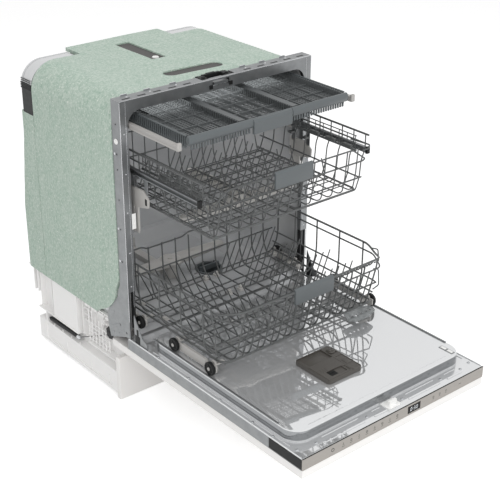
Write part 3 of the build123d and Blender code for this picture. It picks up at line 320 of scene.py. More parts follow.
# ---- Rear felt: a second cut of the same felt, round the tub's leaning back ----
# Its two wings overlap the sides behind the blanket, and it ends below the tub's upper part.
bend, back_low, back_high, lean_from, lean_run = 16, 503, 473, 420, 220
rear_foot, rear_height, wing_end = 230.5, 466, 404


def lay_rear(u, w):
    z = rear_foot + w * rear_height
    back = back_low - (back_low - back_high) * min(1, max(0, (z - lean_from) / lean_run))
    flat_half, turn_length = felt_half - bend, math.pi / 2 * bend
    run = abs(2 * u - 1) * (flat_half + turn_length + back - bend - wing_end)
    ripple = 0
    if run < flat_half:
        x, y = run, back
        ripple = 0.8 * math.sin(run / 47 + z / 66) * math.sin(z / 71)
    elif run < flat_half + turn_length:
        turn = (run - flat_half) / bend
        x, y = flat_half + bend * math.sin(turn), back - bend + bend * math.cos(turn)
    else:
        x, y = felt_half, back - bend - (run - flat_half - turn_length)
    return at(math.copysign(x, 2 * u - 1), y + ripple, z)


rear_cloth = smooth(cloth("rear_felt_cloth", 96, 52, lay_rear, 1), 50)
dress(rear_cloth, needled_felt, "machine", ["rear_felt"])


# ---- Steel frame: two folded posts and a top rail of galvanised sheet, 1.5 mm ----
# Zinc gives a mid grey with soft spangles and a faint rolling direction.
def mottle(tree, shader, where, scale, detail, gloss=None, relief=None):
    """Fine patches on a skin, scale to the metre: roughness from and to, bump strength and depth in m."""
    patches = add_node(tree, "TexNoise", [(where, "Vector")], Scale=scale, Detail=detail).outputs[0]
    if gloss:
        matt = add_node(tree, "MapRange", [(patches, "Value")], To_Min=gloss[0], To_Max=gloss[1])
        tree.links.new(matt.outputs[0], shader.inputs["Roughness"])
    if relief:
        skin = add_node(tree, "Bump", [(patches, "Height")], Strength=relief[0], Distance=relief[1])
        tree.links.new(skin.outputs[0], shader.inputs["Normal"])
    return patches


galvanised, tree, shader, where = new_material("galvanised_steel", "86888A", 0.34, 0.85)
spangle = add_node(tree, "TexVoronoi", [(where, "Vector")], Scale=150)
cloud = mottle(tree, shader, where, 40, 5, relief=(0.08, 0.001))
zinc = add_node(tree, "Mix", [(cloud, 0)], [(6, linear("7B7D7F")), (7, linear("969899"))], data_type="RGBA")
tree.links.new(zinc.outputs[2], shader.inputs["Base Color"])
matt = add_node(tree, "MapRange", [(spangle.outputs["Distance"], "Value")], To_Min=0.3, To_Max=0.46)
tree.links.new(matt.outputs[0], shader.inputs["Roughness"])


def paint(material, *names):
    for name in names:
        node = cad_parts[name]
        node.data.materials.clear()
        node.data.materials.append(material)


paint(galvanised, "front_posts", "top_rail", "hinge_plates", "door_guards", "lock_hook", "door_shell")


def ease(piece, soft, segments=2, above=30):
    """Rounds by soft mm the edges whose faces meet above this angle in degrees."""
    return apply_modifier(piece, "BEVEL", width=soft / 1000, segments=segments, limit_method="ANGLE",
                          angle_limit=math.radians(above))


def board(low, high, soft=1.0, segments=2):
    """A block between two corners in mm, its edges eased by soft mm."""
    a, b = at(*low), at(*high)
    bpy.ops.object.select_all(action="DESELECT")
    bpy.ops.mesh.primitive_cube_add(size=1, location=(a + b) / 2)
    piece = bpy.context.object
    piece.scale = [abs(b[i] - a[i]) for i in range(3)]
    bpy.ops.object.transform_apply(location=True, rotation=True, scale=True)
    return ease(piece, soft, segments) if soft else piece


def blocks(on, *rows):
    """Boards from rows of x, y, z, x, y, z, soft and segments; on both sides, or once."""
    return [board((s * x0, y0, z0), (s * x1, y1, z1), *rest) for s in on for x0, y0, z0, x1, y1, z1, *rest in rows]


def join(name, pieces):
    bpy.ops.object.select_all(action="DESELECT")
    for piece in pieces:
        piece.select_set(True)
    bpy.context.view_layer.objects.active = pieces[0]
    if len(pieces) > 1:
        bpy.ops.object.join()
    pieces[0].name = name
    pieces[0].data.name = name
    return pieces[0]


def turned(centre, axis, profile, steps=24):
    """A turned piece: profile points (radius, height) in mm, spun about an axis through centre."""
    base = at(*centre)
    lie = Vector(axis).normalized().to_track_quat("Z", "X").to_matrix()
    piece = new_piece([base + lie @ Vector((r / 1000, 0, h / 1000)) for r, h in profile],
                      [(i, i + 1) for i in range(len(profile) - 1)], [])
    edit(piece, lambda: bpy.ops.mesh.spin(steps=steps, angle=2 * math.pi, center=base, axis=lie @ Vector((0, 0, 1))),
         lambda: bpy.ops.mesh.remove_doubles(threshold=1e-5))
    return smooth(piece, 40)


def studs(places, profile, steps=24):
    """Turned pieces that point out of both sides of the machine."""
    return [turned((s * x, y, z), (s, 0, 0), profile, steps) for s in sides for x, y, z in places]


# ---- Small parts of the frame: rivets and pressed tabs of plain steel ----
# They sit in the posts' front and side flanges and along the top rail; bright strips along the folded edges are
# painted highlights.
bright_steel, *skin = new_material("bright_steel", "C9CBCD", 0.22, 1.0)
mottle(*skin, 300, 4, gloss=(0.12, 0.34))
rivets_and_highlights = studs([(297.9, 29, z) for z in (424, 512, 707)],
               [(0, 1.6), (2, 1.4), (3.4, 0.6), (3.6, 0), (3.6, -1), (0, -1)], 14)
rivets_and_highlights += [turned((s * 287, 0.2, z), (0, -1, 0), [(0, 1.2), (1.6, 1), (2.6, 0), (2.6, -1), (0, -1)], 14)
           for s in sides for z in (360, 452, 560, 660, 760)]
for x in (-262, -196, -120, 96, 160, 228):
    rivets_and_highlights.append(board((x - 9, 34.4, 831), (x + 9, 37, 843.5), 0.5))
    rivets_and_highlights.append(turned((x, 22, 840), (0, 0, 1), [(0, 1.4), (2.2, 1), (3, 0), (3, -1), (0, -1)], 14))
# The long bright strips on the top rail's fold and the posts' folded edges are painted highlights.
rivets_and_highlights += blocks(once, (-297, -0.5, 838.9, 297, 0.9, 840.5, 0.5))
rivets_and_highlights += blocks(sides, (276.3, 1, 470, 277.5, 12, 546, 0.5), (298.5, -0.5, 262, 296.9, 0.9, 838, 0.5),
                 (282.6, -0.5, 300, 281.6, 0.5, 836, 0.3))
dress(join("frame_rivets_and_edge_highlights", rivets_and_highlights), bright_steel, "machine")

# ---- Plugs: white polyethylene caps pressed into fixing holes ----
# A dished head with a slot, brighter than the steel round it; a flat clip holds the inner edge of each post.
white_cap, *skin = new_material("white_polyethylene", "F0F0EE", 0.38)
mottle(*skin, 600, 2, relief=(0.06, 0.0004))
plugs = studs([(298, 20, 739)], [(0, 1.2), (3, 1.3), (4, 2.1), (6.2, 1.9), (7, 0.9), (7, 0), (0, 0)], 28)
plugs += blocks(sides, (277, -0.7, 513, 265.5, 0.8, 554, 0.5))
plugs.append(turned((-11, 258, 832), (0, 0, 1),
                    [(0, 2.4), (5, 2.4), (6, 3.2), (8.4, 2.8), (9.2, 0.8), (9.2, -1), (0, -1)], 28))
dress(join("fixing_plugs", plugs), white_cap, "machine", ["trim_plugs"])

# ---- Tub: polished stainless sheet, folded, pressed and welded ----
# Inside walls mirror each other; the skin keeps a fine grain from rolling.
stainless, tree, shader, where = new_material("rolled_stainless_steel", "CFD0D1", 0.2, 0.5)
rolled = add_node(tree, "Mapping", [(where, "Vector")], [("Scale", (1, 1, 0.06))])
mottle(tree, shader, rolled.outputs[0], 420, 3, gloss=(0.12, 0.27))
mottle(tree, shader, where, 7, 2, relief=(0.22, 0.004))
paint(stainless, "tub_wrap", "tub_back", "tub_floor", "filter_plate", "tray_channels")

# ---- Rear flange of the tub: the outer edge where the back wall is rolled on ----
# Polished stainless round both upper corners, left bare behind the blanket.
flanges = []
arc = [math.radians(10 * n) for n in range(1, 10)]
outer, inner = ([(238 + r * math.cos(a), 768 + r * math.sin(a)) for a in arc] for r in (61, 58))
outline = [(299, 778)] + outer + [(156, 829), (156, 826)] + inner[::-1] + [(296, 778)]
for s in sides:
    flanges.append(plate(1, 405, [(s * x, z) for x, z in outline], 50))
    flanges.append(plate(1, 448, [(s * x * 1.004, z * 1.001) for x, z in outline], 6))
dress(smooth(join("tub_rear_flange", flanges), 40), stainless, "machine")

# ---- Bitumen sheets: matt black sound-deadening sheet, glued on warm ----
# Seen through the blanket's slots and behind its rear edge.
bitumen, *skin = new_material("bitumen_sheet", "4A4847", 0.62)
mottle(*skin, 500, 3, relief=(0.3, 0.0006))
paint(bitumen, "bitumen_pads")
bare = blocks(once, (-44, 226, 825, 20, 426, 832, 1, 2), (-96, 84, 825, 96, 140, 832, 1, 2))
dress(join("bitumen_sheets_bare", bare), bitumen, "machine")

# ---- Door seal: extruded black rubber pushed on round the opening ----
# A matt lip with a faint sheen along its edge; plain dark strips of it lie across the end of the tub's rear flange.
rubber, *skin = new_material("black_rubber", "1E1F20", 0.6)
mottle(*skin, 90, 4, gloss=(0.48, 0.72))
paint(rubber, "door_gasket")
# Dark strips laid over the end of the tub's rear flange: one tall strip and four thin ones.
strips = blocks(sides, (294, 405, 690, 298.4, 455, 778, 1, 2),
                *[(296, 404, 762 + 4.4 * n, 300, 457, 764.6 + 4.4 * n, 0.8, 2) for n in range(4)])
dress(join("flange_dark_strips", strips), rubber, "machine")

# ---- Slot shade: strips of the black rubber material in the slots of the top rail's upper flange ----
# They are painted shade standing for the open slots, short strips between the clips; three more dark strips lie
# across each end of the tub's rear flange.
# Painted shade: dark strips stand for the open slots in the rail's upper flange.
strips = blocks(sides, *[(x - 11, 10, 839.4, x + 11, 16, 840.3, 0.3) for x in (94, 138, 182, 226, 270)],
                *[(298.4, 406, z, 300.1, 453, z + 1.8, 0.3) for z in (778, 783, 788)])
dress(join("painted_slot_shade_and_flange_lines", strips), rubber, "machine")

# ---- Base: one large moulding of white polypropylene with ribs and pockets ----
# Moulded skin with a soft shine; the ribs leave shaded pockets.
white_moulding, *skin = new_material("white_polypropylene", "F4F3F2", 0.42)
mottle(*skin, 30, 4, gloss=(0.34, 0.5))
mottle(*skin, 900, 2, relief=(0.08, 0.0003))
paint(white_moulding, "base_tray")
ribs = blocks(
    sides,
    *[(268, 112 + 33 * k, 206, 284, 138 + 33 * k, 214) for k in range(4)],
    *[(268, 104, z, 282, 146, z + 3, 0.6) for z in (150, 168, 186)],
    *[(268, 208, z + 8, 282, 248, z + 11, 0.6) for z in (150, 168, 186)],
    *[(286, 116 + 16 * k, 112, 289, 118 + 16 * k, 178 + 5 * k, 0.5) for k in range(7)],
    *[(286, 114, 116 + 13 * k, 288.4, 216, 118 + 13 * k, 0.5) for k in range(5)],
    *[(289, y, 74, 291.6, y + 3, 81, 0.6) for y in (262, 306, 350, 394)],
    *[(288, y, 18, 290.5, y + 18, 22, 0.6) for y in (118, 206, 330)],
    *[(288, y + 4, 18, 290.5, y + 8, 44, 0.6) for y in (118, 206, 330)],
    *[(268, y, 150, 288, y + 4, 222) for y in (476, 494)],
)
ribs += studs([(268, 150, 190)], [(4, 0), (4, 16), (7, 16), (7, 0)], 20)
ribs += studs([(268, 232, 214)], [(3, 0), (3, 14), (6, 14), (6, 0)], 20)
dress(join("base_ribs", ribs), white_moulding, "machine")

# ---- Kick board and the door's outer board: white lacquered panels ----
# Flat and satin, with the slight unevenness of sprayed lacquer.
lacquer, *skin = new_material("white_lacquered_board", "ECEAE8", 0.34, Coat_Weight=0.2, Coat_Roughness=0.25)
mottle(*skin, 220, 2, relief=(0.05, 0.0004))
paint(lacquer, "kick_plate", "door_board")

# ---- Feet, sump, pumps and lock: glass-filled black plastics ----
# Dark moulded parts with a fine spark-eroded grain.
dark_moulding, *skin = new_material("dark_polyamide", "1B1C1C", 0.5, Specular_IOR_Level=0.22)
mottle(*skin, 800, 3, relief=(0.12, 0.0003))
paint(dark_moulding, "levelling_feet", "sump_unit", "door_lock", "rope_pulleys", "end_caps", "wall_rollers")

# ---- Light mouldings: acetal and polypropylene in a neutral light grey ----
# Brackets, spray feed and arms, tray runners and wheel carriers.
light_moulding, *skin = new_material("light_grey_acetal", "ACAAA7", 0.4)
mottle(*skin, 60, 4, gloss=(0.32, 0.5), relief=(0.06, 0.0006))
paint(light_moulding, "water_softener", "spray_feed", "lower_spray_arm", "middle_spray_arm", "roller_brackets",
      "middle_feed_tube", "wheel_carriers")

# ---- Grey mouldings: handles, tray and caps in blue-grey polypropylene ----
# A satin skin that is a little lighter where the light grazes it.
grey_moulding, *skin = new_material("blue_grey_polypropylene", "5A5F61", 0.4)
mottle(*skin, 700, 3, relief=(0.1, 0.0003))
mottle(*skin, 18, 3, gloss=(0.34, 0.48))
paint(grey_moulding, "filter_cup", "salt_cap")

# ---- Door springs: long black coil springs hooked into the base ----
# Each pulls a thin rope that runs up to the pulley beside the hinge plate.
spring_coat, *skin = new_material("black_coated_spring_steel", "232324", 0.36)
mottle(*skin, 200, 3, gloss=(0.28, 0.5))


def bent(points, radius):
    """The points of a bent run, each inner corner rounded by a small arc."""
    out = [points[0]]
    for before, here, after in zip(points, points[1:], points[2:]):
        back, on = before - here, after - here
        if back.angle(-on, 0) < 0.05:
            out.append(here)
            continue
        cut = min(radius, back.length * 0.45, on.length * 0.45)
        start, end = here + back.normalized() * cut, here + on.normalized() * cut
        for t in (0, 0.25, 0.5, 0.75, 1):
            out.append(start * (1 - t) ** 2 + here * 2 * t * (1 - t) + end * t * t)
    return out + [points[-1]]


def wires(name, *groups):
    """Round wires: groups of (thickness, bend, runs), each run a list of places in mm."""
    made = []
    for thickness, bend_radius, runs in groups:
        curve = bpy.data.curves.new(name, "CURVE")
        curve.dimensions = "3D"
        curve.bevel_depth = thickness / 2000
        curve.bevel_resolution = 1
        curve.use_fill_caps = True
        for run in runs:
            points = [at(*p) for p in run]
            if bend_radius:
                points = bent(points, bend_radius / 1000)
            spline = curve.splines.new("POLY")
            spline.points.add(len(points) - 1)
            for point, co in zip(spline.points, points):
                point.co = (*co, 1)
        piece = bpy.data.objects.new(name, curve)
        scene.collection.objects.link(piece)
        only(piece)
        bpy.ops.object.convert(target="MESH")
        made.append(bpy.context.object)
    return smooth(join(name, made), 60)


def mirrored(*runs):
    """Each run of a wire on the left and on the right."""
    return [[(s * x, y, z) for x, y, z in run] for s in sides for run in runs]


spring_x, turns, per_turn = 285, 52, 12
coils = []
for s in sides:
    coil = []
    for n in range(turns * per_turn + 1):
        share = n / (turns * per_turn)
        turn = 2 * math.pi * n / per_turn
        radius = 5.2 if 0.03 < share < 0.97 else 3.4
        coil.append((s * spring_x + radius * math.cos(turn), 426 - 148 * share,
                     84.2 + 5.6 * share + radius * math.sin(turn)))
    coils.append(coil)
hooks = mirrored([(spring_x, 428, 84), (spring_x, 436, 84), (spring_x, 438, 76), (spring_x, 430, 72)],
                 [(spring_x, 279, 90), (spring_x, 272, 90), (spring_x, 269, 94)])
ropes = mirrored([(spring_x, 272, 91), (spring_x, 121, 166)])
springs = wires("door_spring_coils", (2.3, 0, coils), (2.4, 3, hooks), (2.2, 0, ropes))
dress(springs, spring_coat, "machine", ["door_springs"])
clamps = [turned((s * spring_x, 276, 90), (0, -1, 0.12), [(0, -4), (6.4, -4), (6.8, 0), (6.6, 6), (4, 9), (0, 9)], 20)
          for s in sides]
dress(join("spring_end_fittings", clamps), bright_steel, "machine")

# ---- Pulley housings: black cheeks over the rope pulleys ----
# Six-sided mouldings clipped to the base next to the hinge plates.
outline = [(92, 176), (98, 166), (110, 163), (121, 170), (122, 188), (112, 199), (98, 198)]
housings = [ease(plate(0, s * 289.2, outline, s * 2.8), 0.8) for s in sides]
housings += studs([(291.5, 107, 182)], [(0, 2), (3, 2), (4, 1), (4, -1), (0, -1)], 18)
dress(join("pulley_housings", housings), dark_moulding, "machine")

# ---- Lock housing: black moulding let into the top rail ----
# Ribs, screw bosses and a spring cover stand on the CAD housing.
lock_parts = blocks(
    once, (-46, 14, 836, -28, 43, 840), (28, 14, 836, 46, 43, 840), (-27, 38, 836, 27, 46, 841),
    (-12, 40, 822, 14, 48, 842, 1.2), (-44, 40, 826, -36, 47, 839, 0.8), (34, 40, 826, 43, 47, 839, 0.8))
lock_parts += [turned((s * 36, 24, 839.5), (0, 0, 1), [(0, 3), (4, 3), (5, 2), (5, -1), (0, -1)], 18) for s in sides]
lock_parts += blocks(sides, (36, -1.5, 816, 25, 3, 826, 0.8))
dress(join("lock_cover", lock_parts), dark_moulding, "machine")

# ---- Door liner: one deep-drawn sheet of bright stainless steel ----
# A mirror of the racks above it: the flat plateau, its rolled rim and the low ledge round it.
mirror_steel, tree, shader, where = new_material("bright_annealed_stainless", "DFE0E1", 0.035, 0.66)
mottle(tree, shader, where, 9, 6, gloss=(0.012, 0.05))
mottle(tree, shader, where, 3.5, 1, relief=(0.06, 0.004))
# The drawn wall between ledge and plateau is painted darker, a painted shade; these heights are in m.
height = add_node(tree, "SeparateXYZ", [(where, "Vector")]).outputs["Z"]
wall = add_node(tree, "MapRange", [(height, "Value")], From_Min=0.2345, From_Max=0.2335)
foot = add_node(tree, "MapRange", [(height, "Value")], From_Min=0.2105, From_Max=0.2125)
drawn_wall = add_node(tree, "Math", [(wall.outputs[0], 0), (foot.outputs[0], 1)], operation="MULTIPLY")
# Painted shade: the wall's colour is mixed towards dark grey.
painted_wall_shade = add_node(tree, "Mix", [(drawn_wall.outputs[0], 0)], [(6, linear("DFE0E1")), (7, linear("8F9193"))],
                  data_type="RGBA")
tree.links.new(painted_wall_shade.outputs[2], shader.inputs["Base Color"])

plateau = plate(2, 207, rounded(0, -329, 558, 542, 44, 14), 29)
middle, taper = at(0, -329, 236), 0.996
for v in plateau.data.vertices:
    if v.co.z > 0.22:  # the upper outline only
        v.co.xy = middle.xy + (v.co.xy - middle.xy) * taper
liner = [smooth(ease(plateau, 2.6, 3, 60), 40)]
liner += blocks(once, (-297, -643.5, 206.4, 297, 14, 208, 0.7), (-226, -587, 235.5, 226, -585, 236.7, 0.5, 2))
liner += blocks(sides, (283.5, -590, 207.5, 286, -80, 209.6, 1, 3), (293.8, -640, 207.5, 296.6, 10, 210.2, 1, 2))
for x0, x1 in ((-216, -92), (-60, -22), (52, 160), (186, 236)):
    liner += blocks(once, (x0, -631, 207.5, x1, -626, 210, 1.1, 3),
                    (x0 + 8, -611, 207.5, x1 - 4, -607.5, 209.2, 0.8, 3))
dress(join("door_liner_pressing", liner), mirror_steel, "machine", ["door_liner"])

# ---- Screws of the door: pan heads along both ledges and the front ledge ----
# Bright zinc-plated steel with a cross recess.
ledge_screws = ((289.5, -108), (289.5, -232), (289.5, -352), (289.5, -470), (289.5, -540), (282, -612))
screw_places = [(s * x, y) for s in sides for x, y in ledge_screws]
screw_places += [(x, -619) for x in (-232, -76, 40, 172, 244)]
screws = []
for x, y in screw_places:
    head = turned((x, y, 208), (0, 0, 1), [(0, 2.4), (2.2, 2.2), (3.6, 1.2), (4, 0), (4, -0.6), (0, -0.6)], 16)
    for half, reach in ((0.5, 2.6), (2.6, 0.5)):
        cut_away(head, board((x - half, y - reach, 209.5), (x + half, y + reach, 212), 0))
    screws.append(head)
dress(join("door_screws", screws), bright_steel, "machine")

# ---- Striker: a pale moulded loop on a round foot at the door's end ----
# The lock hook in the top rail drops behind this loop.
paint(white_cap, "door_striker")
guide = blocks(once, (-12, -632, 207.8, 20, -606, 209.4))
guide.append(turned((4, -619, 209.2), (0, 0, 1), [(0, 4), (9, 4), (11, 3), (12, 0), (0, 0)], 24))
dress(join("striker_guide", guide), white_cap, "machine")

# ---- Side runs of the door: grey steel beads along both edges of the plateau ----
# They keep the wheels of the lower rack on the door; a pressed frame holds the seal clip.
runs = blocks(sides, (272.2, -542, 235.6, 277.6, -70, 238.2, 1.4, 3))
runs += blocks(once, (243.6, -589, 235.6, 256, -546, 236.7, 0.5))
dress(join("door_side_runs", runs), galvanised, "machine")

# ---- Seal clip on the plateau: small white polyethylene strip ----
# It sits in a pressed recess near the far front corner.
clip = blocks(once, *[(246, y, 236, 253.6, y + 16, 238, 1, 3) for y in (-586, -565)])
dress(join("rim_clip", clip), white_cap, "machine")

# ---- Dispenser: dark moulded housing with a sliding lid and a rinse aid cap ----
# Polypropylene, satin, with a raised deck, a finger slot and a square cap recess.
dispenser_skin, *skin = new_material("grey_brown_polypropylene", "4E4B47", 0.42)
mottle(*skin, 700, 3, relief=(0.12, 0.0003))
housing = ease(plate(2, 236.3, rounded(-28, -440, 110, 120, 9, 5), 11.3), 1, 2, 50)
for pocket in blocks(once, (-81, -498, 243.6, -1.4, -382.4, 250, 0), (2.2, -416.5, 245.4, 23, -395.5, 250, 0),
                     (2.6, -496, 246.6, 24, -430, 250, 0)):
    cut_away(housing, pocket)
decks = blocks(once, (-70, -424, 242.8, -12, -386, 243.74, 0.2), (5, -470, 246.4, 21, -448, 247.4, 0.6))
dress(smooth(join("dispenser_housing", [housing] + decks), 35), dispenser_skin, "machine",
      ["dispenser_body"])
lid = board((-80, -497, 243.8), (-2, -425, 248), 1, 3)
cut_away(lid, plate(2, 244.5, rounded(-38, -478, 50, 22, 3, 3), 10))
cut_away(lid, plate(2, 246.6, rounded(-15, -482, 18, 22, 2, 3), 10))
grips = blocks(once, *[(-70, -468 + 5 * n, 247.8, -50, -466 + 5 * n, 248.5, 0.3) for n in range(4)])
dress(join("dispenser_sliding_lid", [lid] + grips), dispenser_skin, "dispenser_lid",
      ["dispenser_lid"])
# Painted shade: two dark boards darken the finger slot of the lid.
well_shade = blocks(once, (-62, -488.4, 243.9, -38, -467.6, 244.9, 0.4), (-61, -475, 244.6, -40, -468.4, 246.2, 0.8))
dress(join("lid_finger_well_shade", well_shade), dark_moulding, "dispenser_lid")
cap = [turned((12.5, -406, 248.2), (0, 0, 1), [(0, 2.2), (7.5, 2.2), (9.4, 1.6), (10, 0.6), (10, 0), (0, 0)], 30)]
cap += blocks(once, (5.2, -408, 249.8, 19.8, -404, 252.4, 1, 3))
dress(join("rinse_aid_cap", cap), dispenser_skin, "rinse_cap", ["rinse_cap"])

# ---- Control strip: brushed stainless, with printed marks and the display's window ----
# Brush lines run across the door; the marks are plain signs in dark grey ink.
brushed, tree, shader, where = new_material("brushed_stainless_strip", "9A9691", 0.34, 0.9)
drawn = add_node(tree, "Mapping", [(where, "Vector")], [("Scale", (0.02, 1, 1))])
lines = mottle(tree, shader, drawn.outputs[0], 2200, 3, gloss=(0.26, 0.4))
tone = add_node(tree, "Mix", [(lines, 0)], [(6, linear("8B8782")), (7, linear("A6A29D"))], data_type="RGBA")
tree.links.new(tone.outputs[2], shader.inputs["Base Color"])
paint(brushed, "control_strip")
glass, *skin = new_material("black_display_acrylic", "050506", 0.08, Specular_IOR_Level=0.15)
mottle(*skin, 120, 3, gloss=(0.04, 0.1))
paint(glass, "display_window")
lit, tree, shader, where = new_material("lit_white_segments", "F2F6FA", 0.4, Emission_Strength=0.45)
spread = mottle(tree, shader, where, 400, 1)
tint = add_node(tree, "Mix", [(spread, 0)], [(6, linear("DDE9F4")), (7, linear("FFFFFF"))], data_type="RGBA")
tree.links.new(tint.outputs[2], shader.inputs["Emission Color"])

strip_face, digit_foot = -647, 188.5
segments = {"0": "abcdef", "3": "abgcd"}
bars = {"a": (0.9, 8.7, 4.6, 9.4), "b": (4.6, 5, 5.3, 8.8), "c": (4.6, 0.6, 5.3, 4.5), "d": (0.9, 0, 4.6, 0.7),
        "e": (0.2, 0.6, 0.9, 4.5), "f": (0.2, 5, 0.9, 8.8), "g": (0.9, 4.4, 4.6, 5.1)}
lit_bars = [(47.6, 191.4, 48.8, 192.6), (47.6, 195.4, 48.8, 196.6)]  # the colon's two dots
for left, digit in ((39.5, "0"), (50.5, "3"), (59, "0")):
    for x0, z0, x1, z1 in [bars[letter] for letter in segments[digit]]:
        lit_bars.append((left + x0, digit_foot + z0, left + x1, digit_foot + z1))
digits = blocks(once, *[(x0, strip_face - 0.12, z0, x1, strip_face + 0.2, z1, 0.1, 1) for x0, z0, x1, z1 in lit_bars])
dress(join("display_digits", digits), lit, "machine")

ink, *skin = new_material("dark_grey_print", "2E2C2A", 0.5)
mottle(*skin, 900, 2, gloss=(0.42, 0.6))


def ring(x, z, radius, line):
    outside, inside = radius * 1.2, radius - line
    return turned((x, strip_face, z), (0, -1, 0), [(outside, 0), (outside, 0.1), (inside, 0.1), (inside, 0)], 20)


def dash(x, z, wide, high):
    return board((x - wide * 0.62, strip_face - 0.1, z - high * 0.62),
                 (x + wide * 0.62, strip_face + 0.05, z + high * 0.62), 0)


marks = [ring(-208, 194, 4, 0.8), dash(-208, 197.6, 0.9, 3), dash(212, 194, 7, 0.9)]
for n in range(8):
    x = -176 + 24.5 * n
    marks.append(ring(x, 196.5, 2.4, 0.6) if n % 2 else dash(x, 196.5, 0.8, 5))
    marks += [dash(x, 193.6, 4.6, 0.6), dash(x, 189.2, 6.4 - n % 3, 0.9)]
for x in (118, 140, 162):
    marks += [ring(x, 195.5, 2.2, 0.6), dash(x, 190, 4.5, 0.8)]
dress(join("control_marks", marks), ink, "machine")

# ---- End caps and edge lines: black moulded caps beside the control strip ----
# A dark hairline of painted shade follows the strip's top edge where it meets the liner.
# The first board is the dark hairline of painted shade; the others are the end caps.
trim = blocks(once, (-297, -646.6, 207.6, 297, -643.8, 208.5, 0.3, 1))
trim += blocks(sides, (293, -643.6, 180.2, 297.4, -535, 206, 0.8))
dress(join("door_end_caps_and_gap_shade", trim), dark_moulding, "machine", ["end_caps"])

# ---- Lower rack: a basket of welded steel wire with a grey polyamide coat ----
# Coated wire is satin and slightly thicker at its ends; bends are round, never sharp.
coated_wire, *skin = new_material("polyamide_coated_wire", "555757", 0.42)
mottle(*skin, 70, 4, gloss=(0.34, 0.52), relief=(0.05, 0.0005))


def hoop(half, y):
    """A wire across a basket: its left half as places (x, z) from the rim to the floor, then the right half."""
    return [(-x, y, z) for x, z in half] + [(x, y, z) for x, z in half[::-1]]


thick = mirrored(
    [(262, 88, 409), (262, -272, 411), (258, -300, 398), (224, -352, 413), (0, -352, 412)],
    [(246, 86, 268), (246, -302, 268), (232, -318, 272), (0, -318, 272)],
)
medium = mirrored(
    [(262, 89, 388), (262, -292, 390), (232, -349, 384), (0, -349, 384)],
    [(261, 89, 315), (261, -300, 317), (252, -316, 320)],
    [(252, 89, 288), (252, -306, 288)],
    [(262, 88, 409), (255, 91, 404), (190, 91, 404), (176, 91, 396), (60, 91, 396), (46, 91, 404), (0, 91, 404)],
    [(250, 89, 330), (0, 89, 330)],
    [(240, -328, 330), (0, -330, 330)],
)
medium += [hoop([(262, 409), (262, 322), (256, 290), (238, 266)], y) for y in (78, 6, -81, -168, -255)]
for n in range(11):
    x = -215 + 43 * n
    rim, front = 400, [(x, -350, 392), (x, -352, 412)]
    if n in (4, 6):  # these two end below the handle
        rim, front = 396, [(x, -340, 372)]
    medium.append([(x, 90, rim), (x, 86, 300), (x, 66, 262), (x, -296, 262), (x, -318, 276), (x, -326, 300)] + front)
fixed_rows = (-150, -235)
medium += [[(-232, y, 270), (232, y, 270)] for y in fixed_rows]
thin = mirrored(
    [(262, -286, 404), (270, -300, 404), (270, -306, 372), (262, -296, 366)],
    [(257, -300, 352), (268, -308, 350), (268, -312, 306), (252, -306, 296)],
    *[[(x - 2, y, 268), (x, y, 276), (x + 34, y + 2, 352)] for y in fixed_rows for x in range(22, 215, 24)],
)
for n in range(10):
    x = -193.5 + 43 * n
    thin.append([(x, -318, 272), (x, -327, 300), (x, -349, 384)])
thin += [[(-240, y, 266), (240, y, 266)] for y in (-276, -190, -20)]
zigzag = [(60 + 5.2 * n, -350 if n % 2 else -344, 408 if n % 2 else 398) for n in range(28)]
basket = wires("lower_basket_wires", (5.4, 16, thick), (4.2, 14, medium), (3.4, 5, thin + [zigzag]))
dress(basket, coated_wire, "lower_rack", ["lower_basket"])

# ---- Clips of the lower rack: cream acetal bearings for the folding tines ----
# Each snaps over a floor wire and holds the end of a row.
clips = []
for y in (50, -52):
    clips += blocks(sides, (12.5, y - 7.5, 268.2, 24, y + 7.5, 276, 1.6, 3), (14, y - 4, 275, 23, y + 4, 283, 2.2, 3),
                    (217, y - 8, 266, 232, y + 6, 275, 1.6, 3))
dress(join("tine_bearings", clips), light_moulding, "lower_rack")

# ---- Leaf guard: a clear moulded plate hooked under the rack's right front corner ----
# Smoky polycarbonate with a row of drain holes; light passes through its thin web.
clear, *skin = new_material("smoky_polycarbonate", "A9ADAE", 0.16, Transmission_Weight=0.45)
mottle(*skin, 60, 3, gloss=(0.1, 0.24))
outline = [(138, -338), (150, -352), (196, -354), (230, -340), (234, -316), (210, -302), (150, -306)]
leaf = plate(2, 256, outline, 2)
for n in range(5):
    cut_away(leaf, board((153 + 15 * n, -334, 250), (162 + 15 * n, -326, 262), 0))
rim = wires("leaf_rim", (2.4, 6, [[(x, y, 258) for x, y in outline[:-1]]]))
dress(join("leaf_guard", [leaf, rim]), clear, "lower_rack")

# ---- Folding tine rows: thinner wire on a turning bar ----
# The tines lean outwards so that plates stand apart.
for number, (s, y) in enumerate([(s, y) for s in sides for y in (50, -52)], 1):
    bar = [[(s * 25, y, 270.9), (s * 216, y, 270.9)]]
    tines = [[(s * x, y, 270.9), (s * (x + 1), y, 276), (s * (x + 37), y, 354)] for x in range(29, 191, 23)]
    row = wires("tine_wires_%d" % number, (4.4, 0, bar), (3.4, 4, tines))
    dress(row, coated_wire, "tines_%d" % number, ["tine_row_%d" % number])


# ---- Handles of both racks: hollow blue-grey mouldings clipped over the front wires ----
# A flat face with a chamfered top edge that catches the light; no lettering.
def rack_handle(name, body, half, front, low, high, node):
    outline = [(front + 6.8, low), (front + 0.6, low), (front, low + 2), (front, high - 6), (front + 4.6, high),
               (front + 6.8, high)]
    grip = ease(plate(0, -half, outline, half * 2), 0.9, 3)
    clips = [board((x - 3, front + 6, low + 8), (x + 3, front + 11, high - 6), 0.8) for x in (8 - half, half - 8)]
    return dress(smooth(join(name, [grip] + clips), 30), grey_moulding, body, [node])


rack_handle("lower_rack_handle", "lower_rack", 62, -357, 379, 421, "lower_handle")
rack_handle("middle_rack_handle", "middle_rack", 59, -276, 649, 692, "middle_handle")

